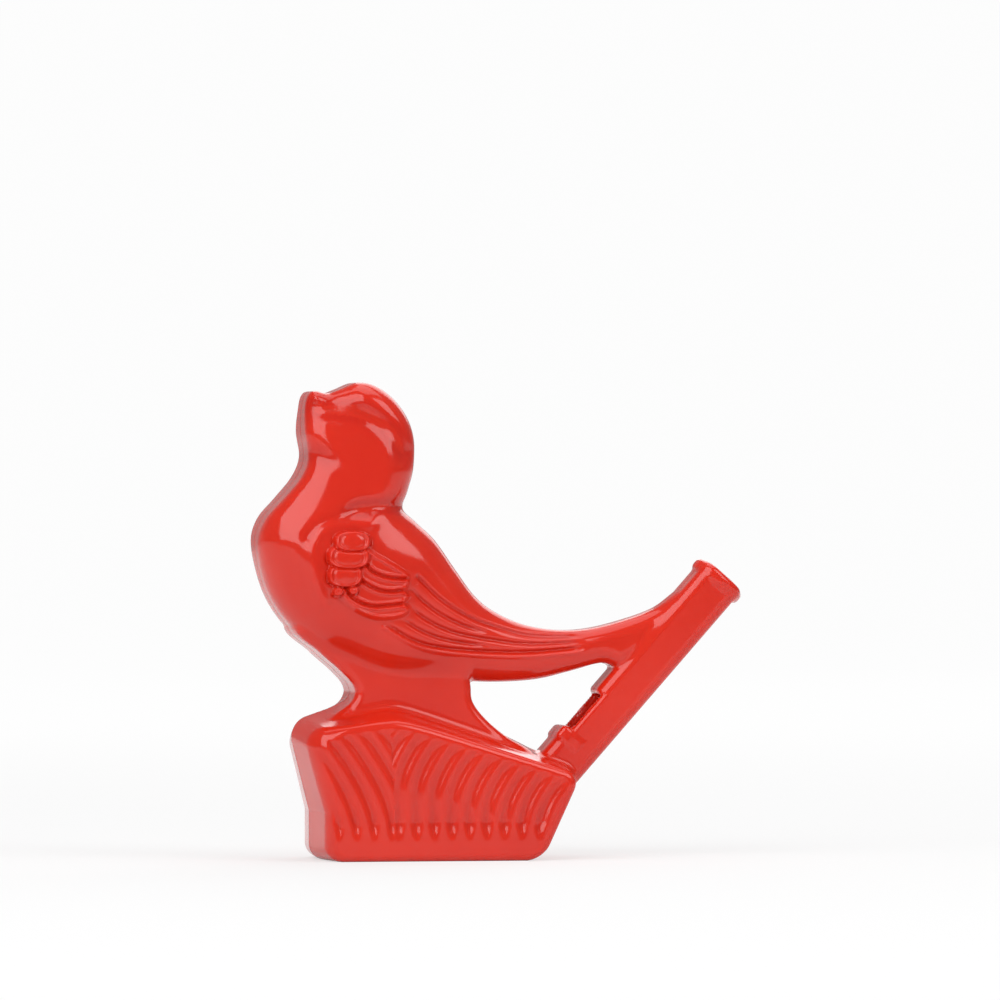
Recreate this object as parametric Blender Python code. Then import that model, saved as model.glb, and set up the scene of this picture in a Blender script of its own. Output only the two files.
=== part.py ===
"""Water whistle in the form of a bird on a tree stump, moulded as two halves cemented on the plane Y = 0.

Sizes are in millimetres and become metres where the meshes are made. +X runs from the breast towards the
mouthpiece, +Z is up, and the stump stands on Z = 0. Each form is a field: negative inside, positive
outside, and about the distance to its surface in between. The forms are joined with fillets, the hollows
are taken out, and a net of faces is laid where the sum changes sign.
"""

import math

import bmesh
import bpy
import numpy as np

TO_METRES = 0.001

# Moulding
WALL = 1.4
CELL = 0.42
SHELL_FACES = 5720
WING_WEIGHT = 0.5
WING_HOLD = 0.05
FLAT_SNAP = 0.03
SETTLE = 0.02
SETTLE_ROUNDS = 3

# Stump
STUMP_HALF_DEPTH = 12.0
STUMP_EDGE = 1.1
STUMP_SIDE_EDGE = 4.2
STUMP_SIDE_ZONE = 8.0
STUMP_CORNER = 2.6
STUMP_SHOULDER = 3.2
STUMP_LEFT = -34.1
STUMP_LEFT_HEIGHT = 20.0
STUMP_LEFT_LEAN = 0.25
STUMP_LEFT_FOOT = 8.0
STUMP_RIGHT = 12.9
STUMP_RIGHT_LEAN = 0.46
STUMP_RIGHT_HEIGHT = 13.5
STUMP_SIDE_DRAFT = 0.10
STUMP_PEAK_X = -18.5
STUMP_PEAK_HEIGHT = 28.2
STUMP_PEAK_ROUND = 2.5
STUMP_PEAK_FALL_LEFT = 0.36
STUMP_PEAK_FALL_RIGHT = 0.42
STUMP_FRONT_HEIGHT = 23.2
STUMP_FRONT_FALL_LEFT = 0.16
STUMP_FRONT_FALL_RIGHT = 0.31
GRAIN_PITCH = 2.9
GRAIN_DEPTH = 0.6
GRAIN_FOOT_HEIGHT = 3.3
GRAIN_FOOT_RAMP = 3.2
GRAIN_FOOT_NARROW = 1.0
GRAIN_FOOT_POINT = 2.5
GRAIN_LEFT_SHARP = 1.7
GRAIN_RIGHT_SHARP = 0.8
GRAIN_LEFT_START = -19.5
GRAIN_LEFT_REACH = 16.5
GRAIN_LEFT_SPREAD = 8.4
GRAIN_LEFT_BEND = 1.4
GRAIN_RIGHT_START = -18.3
GRAIN_RIGHT_REACH = 11.0
GRAIN_RIGHT_SPREAD = 5.0
GRAIN_RIGHT_BEND = 1.6
GRAIN_PARTING = 0.12
GRAIN_MARGIN = 1.6
GRAIN_INSET = 0.3

# Mouthpiece tube, placed from the middle of its mouth and running down at an angle
MOUTH_X = 37.6
MOUTH_Z = 46.05
TUBE_ANGLE = 48.5
TUBE_LENGTH = 45.0
TUBE_HALF_WIDTH = 3.85
TUBE_HALF_DEPTH = 4.3
TUBE_EDGE = 1.9
BEAD_RADIUS = 4.75
BEAD_LENGTH = 2.2
BEAD_EDGE = 0.9
BEAD_FILLET = 0.5
LIP_FILLET = 0.4
TUBE_WALL = 1.1
BORE_EDGE = 0.5
MOUTH_BORE_DEPTH = 6.5
WINDWAY_HALF_WIDTH = 2.2
WINDWAY_HEIGHT = 1.1
WINDWAY_OVERLAP = 0.5
RECESS_DEPTH = 1.0
RECESS_EDGE = 0.9
WINDOW_START = 28.4
WINDOW_FLOOR = 6.2
WINDOW_BREACH = 0.25
WINDOW_CLEARANCE = 1.2
WINDOW_EDGE = 0.4
OPENING_EDGE = 0.1
LIP_RISE = 0.35
LIP_START = 35.7
LIP_LENGTH = 2.8

# Leg between the bird and the stump
LEG_HALF_DEPTH = 6.6
LEG_EDGE = 1.4

FILLET = 1.2
TUBE_FILLET = 0.8
CHAMBER_EDGE = 0.3

# Outline of the bird in the parting plane, from the throat over the head and back, round the tail and belly
BIRD_OUTLINE = (
    (-40.1, 51.2), (-39.0, 55.4), (-36.0, 58.9), (-33.2, 62.3), (-32.0, 65.5), (-32.5, 69.9), (-32.3, 73.9),
    (-31.7, 75.8), (-30.6, 76.3), (-28.6, 75.9), (-26.5, 76.6), (-23.6, 77.7), (-20.6, 77.1), (-17.6, 74.9),
    (-15.3, 71.6), (-14.3, 67.9), (-14.5, 63.5), (-15.4, 60.1), (-16.1, 57.2), (-14.2, 55.1), (-10.9, 52.0),
    (-7.4, 47.1), (-4.2, 42.9), (-0.8, 40.3), (4.2, 38.2), (9.8, 37.3), (15.0, 37.5), (20.6, 38.8),
    (26.0, 40.7), (30.4, 43.3), (31.4, 40.5), (26.0, 35.0), (20.5, 31.4), (17.0, 31.9), (11.5, 30.5),
    (5.5, 29.2), (-3.0, 28.9), (-12.0, 29.8), (-20.0, 31.0), (-26.5, 33.4), (-31.6, 35.6), (-35.6, 39.2),
    (-38.6, 44.4),
)
OUTLINE_STEPS = 6

# Places in the bird: x, z, half depth there, radius of the edge there
BIRD_PLACES = (
    (-31.6, 75.6, 4.4, 1.8),
    (-34.0, 66.0, 8.0, 1.6),
    (-23.0, 70.0, 9.0, 6.0),
    (-25.0, 59.0, 9.4, 6.0),
    (-28.0, 49.0, 11.8, 10.0),
    (-23.0, 40.0, 11.6, 8.0),
    (-10.0, 42.0, 9.0, 6.0),
    (0.0, 35.5, 6.8, 4.4),
    (10.0, 34.0, 5.4, 3.2),
    (20.0, 36.5, 4.2, 2.4),
    (29.0, 42.0, 3.0, 2.2),
)
PLACE_REACH = 6.5

# Outline of the leg, from the bird's belly down to the stump
LEG_OUTLINE = (
    (-33.6, 38.0), (-30.4, 34.0), (-26.8, 30.8), (-24.6, 28.2), (-24.9, 26.0), (-28.0, 22.0), (-20.0, 17.0),
    (2.0, 15.0), (4.4, 17.4), (0.4, 20.2), (-2.8, 22.9), (-5.0, 25.8), (-5.4, 29.0), (-7.0, 35.0),
    (-20.0, 39.0),
)

# Relief on the bird's sides
WING_RISE = 0.7
WING_EDGE = 0.7
WING_MARGIN = 0.8
WING_OUTLINE = (
    (-26.1, 53.7), (-28.0, 52.9), (-29.5, 50.7), (-29.9, 48.2), (-29.4, 45.3), (-28.1, 42.6), (-25.7, 40.4),
    (-22.2, 39.0), (-18.5, 39.1), (-16.5, 39.9), (-16.1, 41.0), (-16.7, 41.9), (-16.0, 42.9), (-16.6, 43.9),
    (-16.1, 45.1), (-16.5, 46.9), (-20.0, 49.1), (-22.5, 50.6), (-23.2, 52.4), (-24.4, 53.5),
)
# Coverts, the upper ones first: x, z, half width, half height
WING_COVERTS = (
    (-25.9, 51.9, 2.95, 1.65),
    (-26.6, 49.4, 3.4, 1.95),
    (-27.2, 46.4, 2.75, 1.9),
    (-28.4, 43.8, 0.75, 0.75),
    (-25.9, 44.0, 0.75, 0.75),
)
COVERT_SQUARENESS = 2.6
COVERT_RISE = 0.75
COVERT_EDGE = 0.9
COVERT_GROOVE = 0.6
FEATHER_GROOVE_DEPTH = 0.6
FEATHER_GROOVE_WIDTH = 0.55
FEATHER_LINES = (
    ((-23.8, 48.3), (-22.5, 46.9), (-19.7, 46.0), (-16.4, 45.8)),
    ((-24.8, 45.7), (-23.0, 44.6), (-20.4, 43.8), (-16.4, 44.0)),
    ((-27.3, 44.6), (-25.8, 42.6), (-22.4, 41.4), (-16.6, 41.9)),
)
TAIL_GROOVE_DEPTH = 0.6
TAIL_GROOVE_WIDTH = 0.6
TAIL_GROOVES = 5
TAIL_GROOVE_END = 15.0
TAIL_GROOVE_FADE = 4.0
TAIL_TOP_LINE = ((-14.9, 46.0), (-10.7, 42.3), (-5.7, 39.4), (-0.7, 37.7), (5.0, 36.4), (14.0, 36.3))
TAIL_LOW_LINE = ((-20.5, 38.6), (-15.9, 36.0), (-11.3, 34.7), (-4.0, 34.0), (4.0, 33.8), (15.0, 34.6))
GROOVE_FADE = 4.5
NECK_GROOVE_DEPTH = 0.9
NECK_GROOVE_WIDTH = 1.7
NECK_LINE = ((-28.6, 56.2), (-22.7, 57.4), (-14.0, 57.4))
SHOULDER_GROOVE_DEPTH = 0.4
SHOULDER_GROOVE_WIDTH = 1.5
SHOULDER_LINE = ((-32.8, 52.6), (-31.0, 54.4), (-28.6, 55.3), (-23.0, 55.6))
CROWN_GROOVE_DEPTH = 0.7
CROWN_GROOVE_WIDTH = 2.2
CROWN_LINE = ((-31.3, 73.4), (-26.5, 73.3), (-22.4, 72.2), (-18.8, 69.6), (-16.6, 66.4))
CHEEK_GROOVE_DEPTH = 0.5
CHEEK_GROOVE_WIDTH = 1.4
CHEEK_LINE = ((-33.0, 65.0), (-30.6, 64.0), (-28.0, 63.0), (-25.0, 62.2))
# Soft ring that stands round the front and top of the wing
SWELL_RISE = 0.45
SWELL_WIDTH = 1.5
SWELL_LINE = (
    (-30.6, 41.8), (-31.8, 44.4), (-32.4, 47.6), (-32.3, 50.8), (-31.2, 53.3), (-29.2, 54.6), (-26.2, 55.2),
    (-22.8, 54.9),
)

# Middle of the whole whistle's length, which the origin is moved to
MIDDLE_X = 0.33

# Space sampled round one half
SPAN_X = (-43.0, 43.5)
SPAN_Y = (-14.0, 1.3)
SPAN_Z = (-1.5, 80.5)

PLASTIC = (0.80, 0.022, 0.008, 1.0)
PLASTIC_ROUGHNESS = 0.16
SHARP_ANGLE = 40


def joined(first, second, radius):
    """Union of two fields with a fillet of this radius in the corner."""
    corner = np.hypot(np.maximum(radius - first, 0), np.maximum(radius - second, 0))
    return np.maximum(radius, np.minimum(first, second)) - corner


def common(first, second, radius):
    """Intersection of two fields with its outside edge rounded to this radius."""
    edge = np.hypot(np.maximum(first + radius, 0), np.maximum(second + radius, 0))
    return np.minimum(-radius, np.maximum(first, second)) + edge


def cut(field, tool, radius):
    """The field with another taken away."""
    return common(field, -tool, radius)


def smooth_step(share):
    share = np.clip(share, 0.0, 1.0)
    return share * share * (3.0 - 2.0 * share)


def curve_through(points, steps, closed):
    """Catmull-Rom curve through the points."""
    points = np.array(points, float)
    if closed:
        padded = np.vstack([points[-1:], points, points[:2]])
    else:
        padded = np.vstack([2 * points[:1] - points[1:2], points, 2 * points[-1:] - points[-2:-1]])
    shares = np.arange(steps)[:, None] / steps
    spans = []
    for before, start, end, after in zip(padded, padded[1:], padded[2:], padded[3:]):
        first = end - before
        second = 2 * before - 5 * start + 4 * end - after
        third = 3 * start - before - 3 * end + after
        spans.append(start + 0.5 * shares * (first + shares * (second + shares * third)))
    if not closed:
        spans.append(points[-1:])
    return np.vstack(spans)


def distance_to_line(line, x, z):
    """Distance to the nearest point of a chain of straight spans."""
    nearest = np.full(np.broadcast(x, z).shape, np.inf)
    for (start_x, start_z), (end_x, end_z) in zip(line, line[1:]):
        run_x = end_x - start_x
        run_z = end_z - start_z
        share = ((x - start_x) * run_x + (z - start_z) * run_z) / (run_x**2 + run_z**2)
        share = np.clip(share, 0.0, 1.0)
        gap = np.hypot(x - start_x - share * run_x, z - start_z - share * run_z)
        nearest = np.minimum(nearest, gap)
    return nearest


def plan_field(outline, x, z):
    """Distance to a closed outline, negative inside it."""
    ring = np.vstack([outline, outline[:1]])
    inside = np.zeros(np.broadcast(x, z).shape, bool)
    for (start_x, start_z), (end_x, end_z) in zip(ring, ring[1:]):
        spans = (start_z > z) != (end_z > z)
        rise = end_z - start_z
        cross_x = start_x + (z - start_z) * (end_x - start_x) / (rise if rise else 1.0)
        inside ^= spans & (x < cross_x)
    gap = distance_to_line(ring, x, z)
    return np.where(inside, -gap, gap)


def groove(line, width, depth, x, z):
    """How much a round-bottomed groove along a line takes off a side."""
    share = distance_to_line(line, x, z) / width
    return depth * np.exp(-share * share * 2.0)


def along_tube(x, z):
    """Place along the tube from its mouth, and across it towards the bird."""
    angle = math.radians(TUBE_ANGLE)
    down = (MOUTH_X - x) * math.cos(angle) + (MOUTH_Z - z) * math.sin(angle)
    across = (MOUTH_X - x) * math.sin(angle) - (MOUTH_Z - z) * math.cos(angle)
    return down, across


def place_values(x, z):
    """Half depth and edge radius of the bird, blended between its named places."""
    total = 0.0
    depth = 0.0
    edge = 0.0
    for place_x, place_z, place_depth, place_edge in BIRD_PLACES:
        gap = (x - place_x) ** 2 + (z - place_z) ** 2
        weight = np.exp(-gap / (2 * PLACE_REACH**2)) + 1e-9 / (1.0 + gap)
        total = total + weight
        depth = depth + weight * place_depth
        edge = edge + weight * place_edge
    return depth / total, edge / total


def covert_inside(place, x, z):
    """About the distance in from a covert's rounded edge."""
    centre_x, centre_z, half_width, half_height = place
    along = np.abs((x - centre_x) / half_width) ** COVERT_SQUARENESS
    across = np.abs((z - centre_z) / half_height) ** COVERT_SQUARENESS
    return half_height * (1.0 - (along + across) ** (1.0 / COVERT_SQUARENESS))


def covert_rise(x, z):
    """Round feathers at the wing's shoulder, each lying over the one below it with a groove at its rim."""
    rise = 0.0
    for place in reversed(WING_COVERTS):
        inside = covert_inside(place, x, z)
        rim = np.exp(-2.0 * (np.minimum(inside, 0.0) / FEATHER_GROOVE_WIDTH) ** 2)
        dome = smooth_step(inside / COVERT_EDGE + 0.5)
        below = np.where(inside < 0, rise - COVERT_GROOVE * rim, 0.0)
        rise = below * (1.0 - dome) + COVERT_RISE * dome
    return rise


def tail_lines():
    """Grooves of the tail, fanned between its top and low lines."""
    top = curve_through(TAIL_TOP_LINE, OUTLINE_STEPS, closed=False)
    low = curve_through(TAIL_LOW_LINE, OUTLINE_STEPS, closed=False)
    shares = [index / (TAIL_GROOVES - 1) for index in range(TAIL_GROOVES)]
    return [low + (top - low) * share for share in shares]


def bird_relief(x, z):
    """Rise of the wing, less the grooves of wing, tail, neck and crown."""
    wing = -plan_field(curve_through(WING_OUTLINE, OUTLINE_STEPS, closed=True), x, z)
    raised = smooth_step(wing / WING_EDGE)
    rise = WING_RISE * raised + covert_rise(x, z)
    for points in FEATHER_LINES:
        line = curve_through(points, OUTLINE_STEPS, closed=False)
        rise = rise - groove(line, FEATHER_GROOVE_WIDTH, FEATHER_GROOVE_DEPTH, x, z)
    tail = [groove(line, TAIL_GROOVE_WIDTH, TAIL_GROOVE_DEPTH, x, z) for line in tail_lines()]
    fade = smooth_step((TAIL_GROOVE_END - x) / TAIL_GROOVE_FADE) * (1.0 - raised)
    rise = rise - np.maximum.reduce(tail) * fade
    neck = curve_through(NECK_LINE, OUTLINE_STEPS, closed=False)
    crown = curve_through(CROWN_LINE, OUTLINE_STEPS, closed=False)
    shoulder = curve_through(SHOULDER_LINE, OUTLINE_STEPS, closed=False)
    neck_fade = smooth_step((x - NECK_LINE[0][0]) / GROOVE_FADE)
    rise = rise - groove(neck, NECK_GROOVE_WIDTH, NECK_GROOVE_DEPTH, x, z) * neck_fade
    rise = rise - groove(shoulder, SHOULDER_GROOVE_WIDTH, SHOULDER_GROOVE_DEPTH, x, z)
    cheek = curve_through(CHEEK_LINE, OUTLINE_STEPS, closed=False)
    swell = curve_through(SWELL_LINE, OUTLINE_STEPS, closed=False)
    cheek_fade = smooth_step((CHEEK_LINE[-1][0] - x) / GROOVE_FADE)
    rise = rise - groove(cheek, CHEEK_GROOVE_WIDTH, CHEEK_GROOVE_DEPTH, x, z) * cheek_fade
    rise = rise + groove(swell, SWELL_WIDTH, SWELL_RISE, x, z) * (1.0 - raised)
    return rise - groove(crown, CROWN_GROOVE_WIDTH, CROWN_GROOVE_DEPTH, x, z)


def bird_field(x, y, z, relief):
    plan = plan_field(curve_through(BIRD_OUTLINE, OUTLINE_STEPS, closed=True), x, z)
    depth, edge = place_values(x, z)
    if relief:
        depth = depth + bird_relief(x, z)
    return common(np.abs(y) - depth, plan, edge)


def leg_field(x, y, z):
    plan = plan_field(curve_through(LEG_OUTLINE, OUTLINE_STEPS, closed=True), x, z)
    return common(np.abs(y) - LEG_HALF_DEPTH, plan, LEG_EDGE)


def ridge_line(x, height, fall_left, fall_right):
    """A line that falls away on both sides of the stump's peak and is rounded over there."""
    run = x - STUMP_PEAK_X
    mean_fall = (fall_right + fall_left) / 2
    turn = (fall_right - fall_left) / 2
    return height - mean_fall * np.hypot(run, STUMP_PEAK_ROUND) - turn * run


def stump_top(x, y):
    """Height of the stump's top: it slopes from a ridge in the parting plane down to its front edge."""
    ridge = ridge_line(x, STUMP_PEAK_HEIGHT, STUMP_PEAK_FALL_LEFT, STUMP_PEAK_FALL_RIGHT)
    front = ridge_line(x, STUMP_FRONT_HEIGHT, STUMP_FRONT_FALL_LEFT, STUMP_FRONT_FALL_RIGHT)
    return ridge + (front - ridge) * np.abs(y) / STUMP_HALF_DEPTH


def grain(x, z):
    """Depth of the carved grain: channels that lean away from the centre towards the top."""
    drop = stump_top(x, STUMP_HALF_DEPTH) - z
    lean_left = GRAIN_LEFT_SPREAD * np.clip(1.0 - drop / GRAIN_LEFT_REACH, 0.0, 1.0) ** GRAIN_LEFT_BEND
    lean_right = GRAIN_RIGHT_SPREAD * np.clip(1.0 - drop / GRAIN_RIGHT_REACH, 0.0, 1.0) ** GRAIN_RIGHT_BEND
    middle = (GRAIN_LEFT_START + GRAIN_RIGHT_START) / 2
    on_left = x < middle - GRAIN_PARTING * lean_left
    turn_left = (x - GRAIN_LEFT_START + lean_left) / GRAIN_PITCH
    turn_right = (x - GRAIN_RIGHT_START - lean_right) / GRAIN_PITCH
    channel = 0.5 + 0.5 * np.cos(2 * math.pi * np.where(on_left, turn_left, turn_right))
    climb = np.clip((z - GRAIN_FOOT_HEIGHT) / GRAIN_LEFT_REACH, 0.0, 1.0)
    foot = smooth_step((z - GRAIN_FOOT_HEIGHT) / GRAIN_FOOT_RAMP)
    sharp = np.where(on_left, GRAIN_LEFT_SHARP, GRAIN_RIGHT_SHARP)
    sharp = sharp + GRAIN_FOOT_NARROW * (1.0 - climb) + GRAIN_FOOT_POINT * (1.0 - foot)
    return GRAIN_DEPTH * channel**sharp * foot


def stump_sides(x, y, z):
    """Left side, right side, top and foot of the stump, without its front and back."""
    lean = 1.0 / math.hypot(1.0, STUMP_LEFT_LEAN)
    drop = STUMP_LEFT_HEIGHT - np.maximum(z, STUMP_LEFT_FOOT)
    left = (STUMP_LEFT + STUMP_LEFT_LEAN * drop - x + STUMP_SIDE_DRAFT * np.abs(y)) * lean
    lean = 1.0 / math.hypot(1.0, STUMP_RIGHT_LEAN)
    rise = z - STUMP_RIGHT_HEIGHT
    right = (x - STUMP_RIGHT - STUMP_RIGHT_LEAN * rise + STUMP_SIDE_DRAFT * np.abs(y)) * lean
    slope = (STUMP_PEAK_HEIGHT - STUMP_FRONT_HEIGHT) / STUMP_HALF_DEPTH
    top = (z - stump_top(x, y)) / math.hypot(1.0, slope)
    body = common(common(top, left, STUMP_SHOULDER), right, STUMP_CORNER)
    return common(body, -z, STUMP_CORNER)


def stump_field(x, y, z, relief):
    sides = stump_sides(x, y, z)
    depth = STUMP_HALF_DEPTH
    if relief:
        inset = smooth_step((-stump_sides(x, STUMP_HALF_DEPTH, z) - GRAIN_INSET) / GRAIN_MARGIN)
        depth = depth - grain(x, z) * inset
    side_share = smooth_step((STUMP_LEFT + STUMP_SIDE_ZONE - x) / STUMP_SIDE_ZONE)
    edge = STUMP_EDGE + (STUMP_SIDE_EDGE - STUMP_EDGE) * side_share
    return common(np.abs(y) - depth, sides, edge)


def recess_field(down, across):
    """Step let into the tube's upper side round the window."""
    middle = (WINDOW_START + LIP_START) / 2
    ends = np.abs(down - middle) - (LIP_START - WINDOW_START) / 2
    return np.maximum(ends, TUBE_HALF_WIDTH - RECESS_DEPTH - across)


def tube_field(x, y, z):
    down, across = along_tube(x, z)
    section = common(np.abs(across) - TUBE_HALF_WIDTH, np.abs(y) - TUBE_HALF_DEPTH, TUBE_EDGE)
    tube = common(section, np.abs(down - TUBE_LENGTH / 2) - TUBE_LENGTH / 2, BEAD_EDGE)
    tube = cut(tube, recess_field(down, across), RECESS_EDGE)
    bead = np.hypot(across, y) - BEAD_RADIUS
    bead = common(bead, np.abs(down - BEAD_LENGTH / 2) - BEAD_LENGTH / 2, BEAD_EDGE)
    lip_middle = LIP_START + LIP_LENGTH / 2
    lip = common(np.abs(down - lip_middle) - LIP_LENGTH / 2, np.abs(y) - TUBE_HALF_DEPTH, BEAD_EDGE)
    lip = common(lip, across - TUBE_HALF_WIDTH - LIP_RISE, BEAD_EDGE)
    lip = np.maximum(lip, -across)
    return joined(joined(tube, bead, BEAD_FILLET), lip, LIP_FILLET)


def window_field(x, y, z):
    """Wedge cut into the tube's upper side: a square step at its head, then a ramp up to the edge."""
    down, across = along_tube(x, z)
    floor = TUBE_HALF_WIDTH - TUBE_WALL - WINDOW_BREACH
    head = WINDOW_START - down
    ramp_rise = (TUBE_HALF_WIDTH + LIP_RISE - floor) / (LIP_START - WINDOW_START - WINDOW_FLOOR)
    ramp = floor + np.maximum(down - WINDOW_START - WINDOW_FLOOR, 0.0) * ramp_rise - across
    roof = across - TUBE_HALF_WIDTH - LIP_RISE - WINDOW_CLEARANCE
    sides = np.abs(y) - (TUBE_HALF_DEPTH - TUBE_WALL)
    opening = np.maximum(np.maximum(head, roof), sides)
    return np.maximum(opening, ramp / math.hypot(1.0, ramp_rise))


def bore_field(x, y, z):
    """Sounding bore below the window, windway above it and the mouth that feeds it."""
    down, across = along_tube(x, z)
    half_width = TUBE_HALF_WIDTH - TUBE_WALL
    half_depth = TUBE_HALF_DEPTH - TUBE_WALL
    section = common(np.abs(across) - half_width, np.abs(y) - half_depth, BORE_EDGE)
    bore = np.maximum(section, np.maximum(WINDOW_START - down, down - TUBE_LENGTH - WALL))
    slit_floor = half_width - WINDWAY_HEIGHT
    slit = np.maximum(np.maximum(slit_floor - across, across - half_width), np.abs(y) - WINDWAY_HALF_WIDTH)
    slit = np.maximum(slit, np.maximum(BEAD_EDGE - down, down - WINDOW_START - WINDWAY_OVERLAP))
    slope = (slit_floor + half_width) / MOUTH_BORE_DEPTH
    mouth = np.maximum(section, (slope * down - half_width - across) / math.hypot(1.0, slope))
    mouth = np.maximum(mouth, np.maximum(-BEAD_EDGE - down, down - MOUTH_BORE_DEPTH))
    return np.minimum(np.minimum(bore, slit), mouth)


def hollow_field(x, y, z):
    """The air and water space of bird, leg and stump, kept clear of the tube, and the tube's own bore."""
    bird = bird_field(x, y, z, relief=False)
    leg = leg_field(x, y, z)
    stump = stump_field(x, y, z, relief=False)
    body = joined(joined(bird, leg, FILLET), stump, FILLET)
    chamber = cut(body + WALL, tube_field(x, y, z), CHAMBER_EDGE)
    return np.minimum(chamber, bore_field(x, y, z))


def whistle_field(x, y, z):
    bird = bird_field(x, y, z, relief=True)
    leg = leg_field(x, y, z)
    stump = stump_field(x, y, z, relief=True)
    body = joined(joined(bird, leg, FILLET), stump, FILLET)
    outside = joined(body, tube_field(x, y, z), TUBE_FILLET)
    outside = np.maximum(outside, -z)
    hollow = joined(hollow_field(x, y, z), window_field(x, y, z), WINDOW_EDGE)
    return cut(outside, hollow, OPENING_EDGE)


def sampled(span, cell):
    return np.arange(span[0], span[1] + cell, cell)


def settled(field):
    """The samples with no face of four whose signs alternate, where the net would cross itself."""
    for first, second in ((0, 1), (1, 2), (0, 2)):
        near = [slice(None)] * 3
        near[first] = slice(0, -1)
        near[second] = slice(0, -1)
        corners = []
        for step_first, step_second in ((0, 0), (1, 0), (1, 1), (0, 1)):
            part = list(near)
            part[first] = slice(step_first, field.shape[first] - 1 + step_first)
            part[second] = slice(step_second, field.shape[second] - 1 + step_second)
            corners.append(field[tuple(part)] < 0)
        crossed = (corners[0] == corners[2]) & (corners[1] == corners[3]) & (corners[0] != corners[1])
        for place in np.argwhere(crossed):
            around = []
            for step_first, step_second in ((0, 0), (1, 0), (1, 1), (0, 1)):
                corner = place.copy()
                corner[first] += step_first
                corner[second] += step_second
                around.append(tuple(corner))
            weakest = min(around, key=lambda corner: abs(field[corner]))
            field[weakest] = -math.copysign(SETTLE, field[weakest])
    return field


def net_over(field, corners, cell):
    """Points and quads of the surface where a sampled field changes sign, one point in each crossed cell."""
    ring = ((0, 0), (-1, 0), (-1, -1), (0, -1))
    crossings = []
    quads = []
    for axis in range(3):
        low = [slice(None)] * 3
        high = [slice(None)] * 3
        low[axis] = slice(0, -1)
        high[axis] = slice(1, None)
        before = field[tuple(low)]
        after = field[tuple(high)]
        edges = np.argwhere((before < 0) != (after < 0))
        start = before[tuple(edges.T)]
        end = after[tuple(edges.T)]
        places = edges.astype(float)
        places[:, axis] += start / (start - end)
        second = (axis + 1) % 3
        third = (axis + 2) % 3
        cells = []
        for step_second, step_third in ring:
            cell_place = edges.copy()
            cell_place[:, second] += step_second
            cell_place[:, third] += step_third
            cells.append(np.ravel_multi_index(cell_place.T, field.shape))
        cells = np.stack(cells, axis=1)
        crossings.append((places, cells))
        quads.append(np.where((start < 0)[:, None], cells, cells[:, ::-1]))
    quads = np.vstack(quads)
    used, index = np.unique(quads, return_inverse=True)
    sums = np.zeros((len(used), 3))
    counts = np.zeros(len(used))
    for places, cells in crossings:
        for column in range(4):
            slots = np.searchsorted(used, cells[:, column])
            counts += np.bincount(slots, minlength=len(used))
            for part in range(3):
                sums[:, part] += np.bincount(slots, weights=places[:, part], minlength=len(used))
    points = sums / counts[:, None] * cell + np.array(corners)
    return points, index.reshape(quads.shape)


def half_mesh(name):
    """The half on the -Y side, running a little past the parting plane."""
    x = sampled(SPAN_X, CELL)[:, None, None]
    y = sampled(SPAN_Y, CELL)[None, :, None]
    z = sampled(SPAN_Z, CELL)[None, None, :]
    field = np.maximum(whistle_field(x, y, z), y - SPAN_Y[1] + 2 * CELL)
    for _ in range(SETTLE_ROUNDS):
        field = settled(field)
    points, quads = net_over(field, (SPAN_X[0], SPAN_Y[0], SPAN_Z[0]), CELL)
    mesh = bpy.data.meshes.new(name)
    mesh.from_pydata(points.tolist(), [], quads.tolist())
    return mesh


def on_wing(points):
    """Which points lie on the outside of the wing."""
    x, y, z = points.T
    wing = plan_field(curve_through(WING_OUTLINE, OUTLINE_STEPS, closed=True), x, z) < WING_MARGIN
    depth, _ = place_values(x, z)
    return wing & (np.abs(y) > depth - WALL / 2)


def thinned(mesh):
    """The mesh brought down to about SHELL_FACES triangles, with more of them kept on the wing."""
    holder = bpy.data.objects.new("holder", mesh)
    bpy.context.scene.collection.objects.link(holder)
    triangles = 2 * len(mesh.polygons)
    points = np.empty(len(mesh.vertices) * 3)
    mesh.vertices.foreach_get("co", points)
    carved = on_wing(points.reshape(-1, 3))
    group = holder.vertex_groups.new(name="plain")
    group.add(np.flatnonzero(~carved).tolist(), 1.0, "REPLACE")
    group.add(np.flatnonzero(carved).tolist(), WING_WEIGHT, "REPLACE")
    decimate = holder.modifiers.new("thin", "DECIMATE")
    decimate.vertex_group = group.name
    decimate.vertex_group_factor = WING_HOLD
    decimate.ratio = SHELL_FACES / triangles
    decimate.use_collapse_triangulate = True
    graph = bpy.context.evaluated_depsgraph_get()
    result = bpy.data.meshes.new_from_object(holder.evaluated_get(graph))
    bpy.data.objects.remove(holder)
    return result


def parted(mesh):
    """The mesh cut off flat at Y = 0, with its foot flat on Z = 0, in metres."""
    model = bmesh.new()
    model.from_mesh(mesh)
    for vert in model.verts:
        if abs(vert.co.z) < FLAT_SNAP:
            vert.co.z = 0.0
    parts = list(model.verts) + list(model.edges) + list(model.faces)
    result = bmesh.ops.bisect_plane(
        model, geom=parts, dist=FLAT_SNAP, plane_co=(0, 0, 0), plane_no=(0, 1, 0), clear_outer=True
    )
    rim = [part for part in result["geom_cut"] if isinstance(part, bmesh.types.BMEdge)]
    for part in result["geom_cut"]:
        if isinstance(part, bmesh.types.BMVert):
            part.co.y = 0.0
    bmesh.ops.triangle_fill(model, use_beauty=True, use_dissolve=False, edges=rim, normal=(0, 1, 0))
    bmesh.ops.recalc_face_normals(model, faces=model.faces)
    bmesh.ops.translate(model, vec=(-MIDDLE_X, 0, 0), verts=model.verts)
    bmesh.ops.scale(model, vec=(TO_METRES,) * 3, verts=model.verts)
    bmesh.ops.triangulate(model, faces=model.faces)
    model.to_mesh(mesh)
    model.free()
    return mesh


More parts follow.
